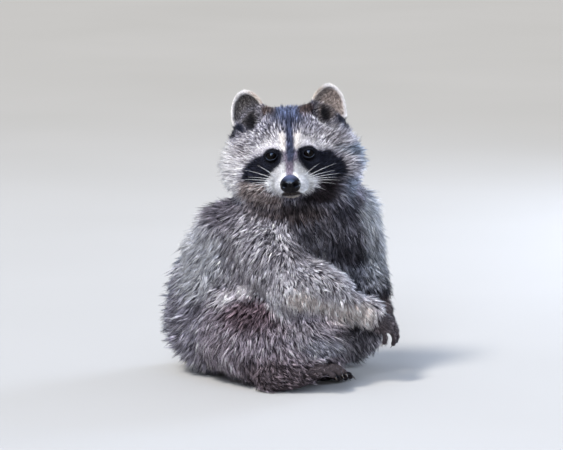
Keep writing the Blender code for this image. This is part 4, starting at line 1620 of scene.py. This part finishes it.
def noseMaterial():
    # moist pebbled leather, black with a soft shine, and a painted bluish reflection on its top
    material, tree, shader = newMaterial("moistNoseLeather")
    where = addNode(tree, "ShaderNodeTexCoord")
    pebbles = addNode(tree, "ShaderNodeTexVoronoi", {"Scale": 1500}, {"Vector": (where, "Object")})
    blotch = addNode(tree, "ShaderNodeTexNoise", {"Scale": 160, "Detail": 4}, {"Vector": (where, "Object")})
    tint = addNode(tree, "ShaderNodeValToRGB", {"ends": ("030305", "09090d")}, {"Fac": (blotch, "Fac")})
    # the painted bluish reflection, laid over the black leather on the top of the pad
    dry = addNode(tree, "ShaderNodeAttribute", {"attribute_name": "noseDry"})
    mix = addNode(tree, "ShaderNodeMix", {"data_type": "RGBA"}, {"Factor": (dry, "Fac"), 6: (tint, "Color")})
    mix.inputs[7].default_value = (*linear(nosePad["dry"]), 1)
    wet = addNode(tree, "ShaderNodeMapRange", {"To Min": 0.16, "To Max": 0.32}, {"Value": (blotch, "Fac")})
    bump = addNode(tree, "ShaderNodeBump", {"Strength": 0.35, "Distance": 0.00025},
                   {"Height": (pebbles, "Distance")})
    setNode(shader, {"IOR": 1.35, "Specular IOR Level": 0.22},
            {"Base Color": (mix, 2), "Roughness": (wet, "Result"), "Normal": (bump, "Normal")})
    return material


def makeNose():
    bm = bmesh.new()
    bmesh.ops.create_icosphere(bm, subdivisions=6, radius=1)
    x, y, z = np.array([v.co for v in bm.verts]).T
    full = 1 + nosePad["square"] * (2 * x * z / np.maximum(x**2 + z**2, 1e-9)) ** 2 * (x**2 + z**2)
    narrow = full * (1 - nosePad["top"] * step(0.0, 1.0, z))
    back = 1 + nosePad["back"] * step(0, 1, z)
    depth = np.where(y > 0, y * back, y * (1 - nosePad["flat"] * step(0, 1, -z)))
    p = np.stack([x * narrow, depth, z * full], 1) * nosePad["half"]
    above, below = nosePad["lean"]
    p[:, 1] += above * step(0.2, 1, z) + below * step(0.3, 1, -z)
    front = step(0.15, -0.25, y)
    hole, rim, slit, groove = (nosePad[part] for part in ("nostril", "rim", "slit", "groove"))
    for side in (1, -1):
        # the nostril is a comma: a round hole, and a slit that runs out and up to the side
        out, up = p[:, 0] * side, p[:, 2]
        away = np.hypot(out - hole["out"], (up - hole["up"]) * hole["oval"])
        rise = np.clip((out - hole["out"]) / slit["long"], 0, 1) * slit["rises"]
        off = np.hypot(np.maximum(out - slit["ends"], 0), up - slit["up"] - rise)
        cut = dip(off, slit["wide"]) * slit["deep"] * (out > slit["starts"])
        swell = dip(away - rim["out"], rim["wide"]) * rim["high"]
        p[:, 1] += (np.maximum(dip(away, hole["wide"]) * hole["deep"], cut) - swell) * front
    p[:, 1] += dip(p[:, 0], groove["wide"]) * step(1.5, -3.5, p[:, 2]) * groove["deep"] * front
    for vert, place in zip(bm.verts, fromHead(p + nosePad["at"])):
        vert.co = place
    obj = objectFrom(bm, "nosePad", noseMaterial())
    obj.data.shade_smooth()
    # where the painted bluish reflection lies: over the top of the pad, less out to the sides
    addAttribute(obj, "noseDry", step(0.25, 0.9, z) * (1 - 0.35 * np.abs(x)))
    finishPiece(obj, "nose_leather", "nose")


makeNose()


# claws: horn, rounded from the CAD's

def clawMaterial():
    # dark streaky horn, paler where it is worn
    return mottledMaterial("clawHorn", {"Scale": 700, "Detail": 3, "Distortion": 1.2}, ("2a221e", "6a5c50"),
                           0.32, {"Strength": 0.2, "Distance": 0.0002})


def makeClaws():
    names = [n for n in nodes if n.startswith("claw")]
    bm = bmesh.new()
    for name in names:
        bm.from_mesh(nodes[name].data)
    bmesh.ops.remove_doubles(bm, verts=bm.verts, dist=1e-5)
    obj = objectFrom(bm, "claws", clawMaterial())
    modify(obj, "SUBSURF", levels=2, render_levels=2)
    obj.data.shade_smooth()
    finishPiece(obj, "claw_horn", *names)


makeClaws()


# whiskers: root on the whisker pad, mm in the head's frame for the animal's left; then how far
# each runs out, up and back

whiskerRoots = [
    ((22, -34, -24), (22, 20, 4)),
    ((26, -31, -26), (36, 17, 8)),
    ((27, -30, -28), (40, 12, 10)),
    ((29, -28, -30), (46, 9, 12)),
    ((28, -30, -31.5), (40, 5, 10)),
    ((30, -27, -33.5), (44, 2, 12)),
    ((28, -30, -35.5), (34, -1, 10)),
    ((25, -33, -39), (24, -6, 8)),
]
whisker = {"thick": 0.45, "tip": 0.08, "sag": 4, "back": 9, "steps": 14, "sides": 5, "sunk": 1.5,
           "vary": (0.88, 1.12), "ahead": 0.25}  # the last is how far forward for each mm out


def whiskerMaterial():
    # stiff white bristle, slightly glossy
    return mottledMaterial("whiteBristle", {"Scale": 90}, ("cfd2da", "ffffff"), 0.3)


def whiskerPath(start, reach):
    t = np.linspace(0, 1, whisker["steps"])[:, None]
    path = start - unit(reach) * whisker["sunk"] + reach * t
    path = path + np.array([0, whisker["back"], -whisker["sag"]]) * t**2
    thick = np.interp(t[:, 0], [0, 0.1, 1], [1, 1, whisker["tip"] / whisker["thick"]])
    return fromHead(path), thick


def makeWhiskers():
    rng = np.random.default_rng(12)
    bm = bmesh.new()
    tree = BVHTree.FromObject(skinObject, bpy.context.evaluated_depsgraph_get())
    sides = whisker["sides"]
    for side in (1, -1):
        flip = np.array([side, 1, 1])
        for root, (out, up, back) in whiskerRoots:
            start = toHead(np.array(tree.find_nearest(fromHead(np.array(root) * flip))[0])[None])[0]
            reach = np.array([out, back - whisker["ahead"] * out, up]) * flip * rng.uniform(*whisker["vary"])
            path, thick = whiskerPath(start, reach)
            rings = []
            for place, way, scale in zip(path, unit(np.gradient(path, axis=0)), thick):
                spin = Vector(way).to_track_quat("Z", "Y").to_matrix().to_4x4()
                rings.append(bmesh.ops.create_circle(
                    bm, segments=sides, radius=whisker["thick"] / 2 * scale * mm,
                    matrix=Matrix.Translation(place) @ spin,
                )["verts"])
            for one, two in zip(rings, rings[1:]):
                for i in range(sides):
                    bm.faces.new((one[i], one[(i + 1) % sides], two[(i + 1) % sides], two[i]))
            bm.faces.new(rings[0][::-1])
            bm.faces.new(rings[-1])
    bmesh.ops.recalc_face_normals(bm, faces=bm.faces)
    obj = objectFrom(bm, "whiskers", whiskerMaterial())
    obj.data.shade_smooth()
    finishPiece(obj, "coat_pale")


makeWhiskers()
report("eyes, nose, claws and whiskers made")
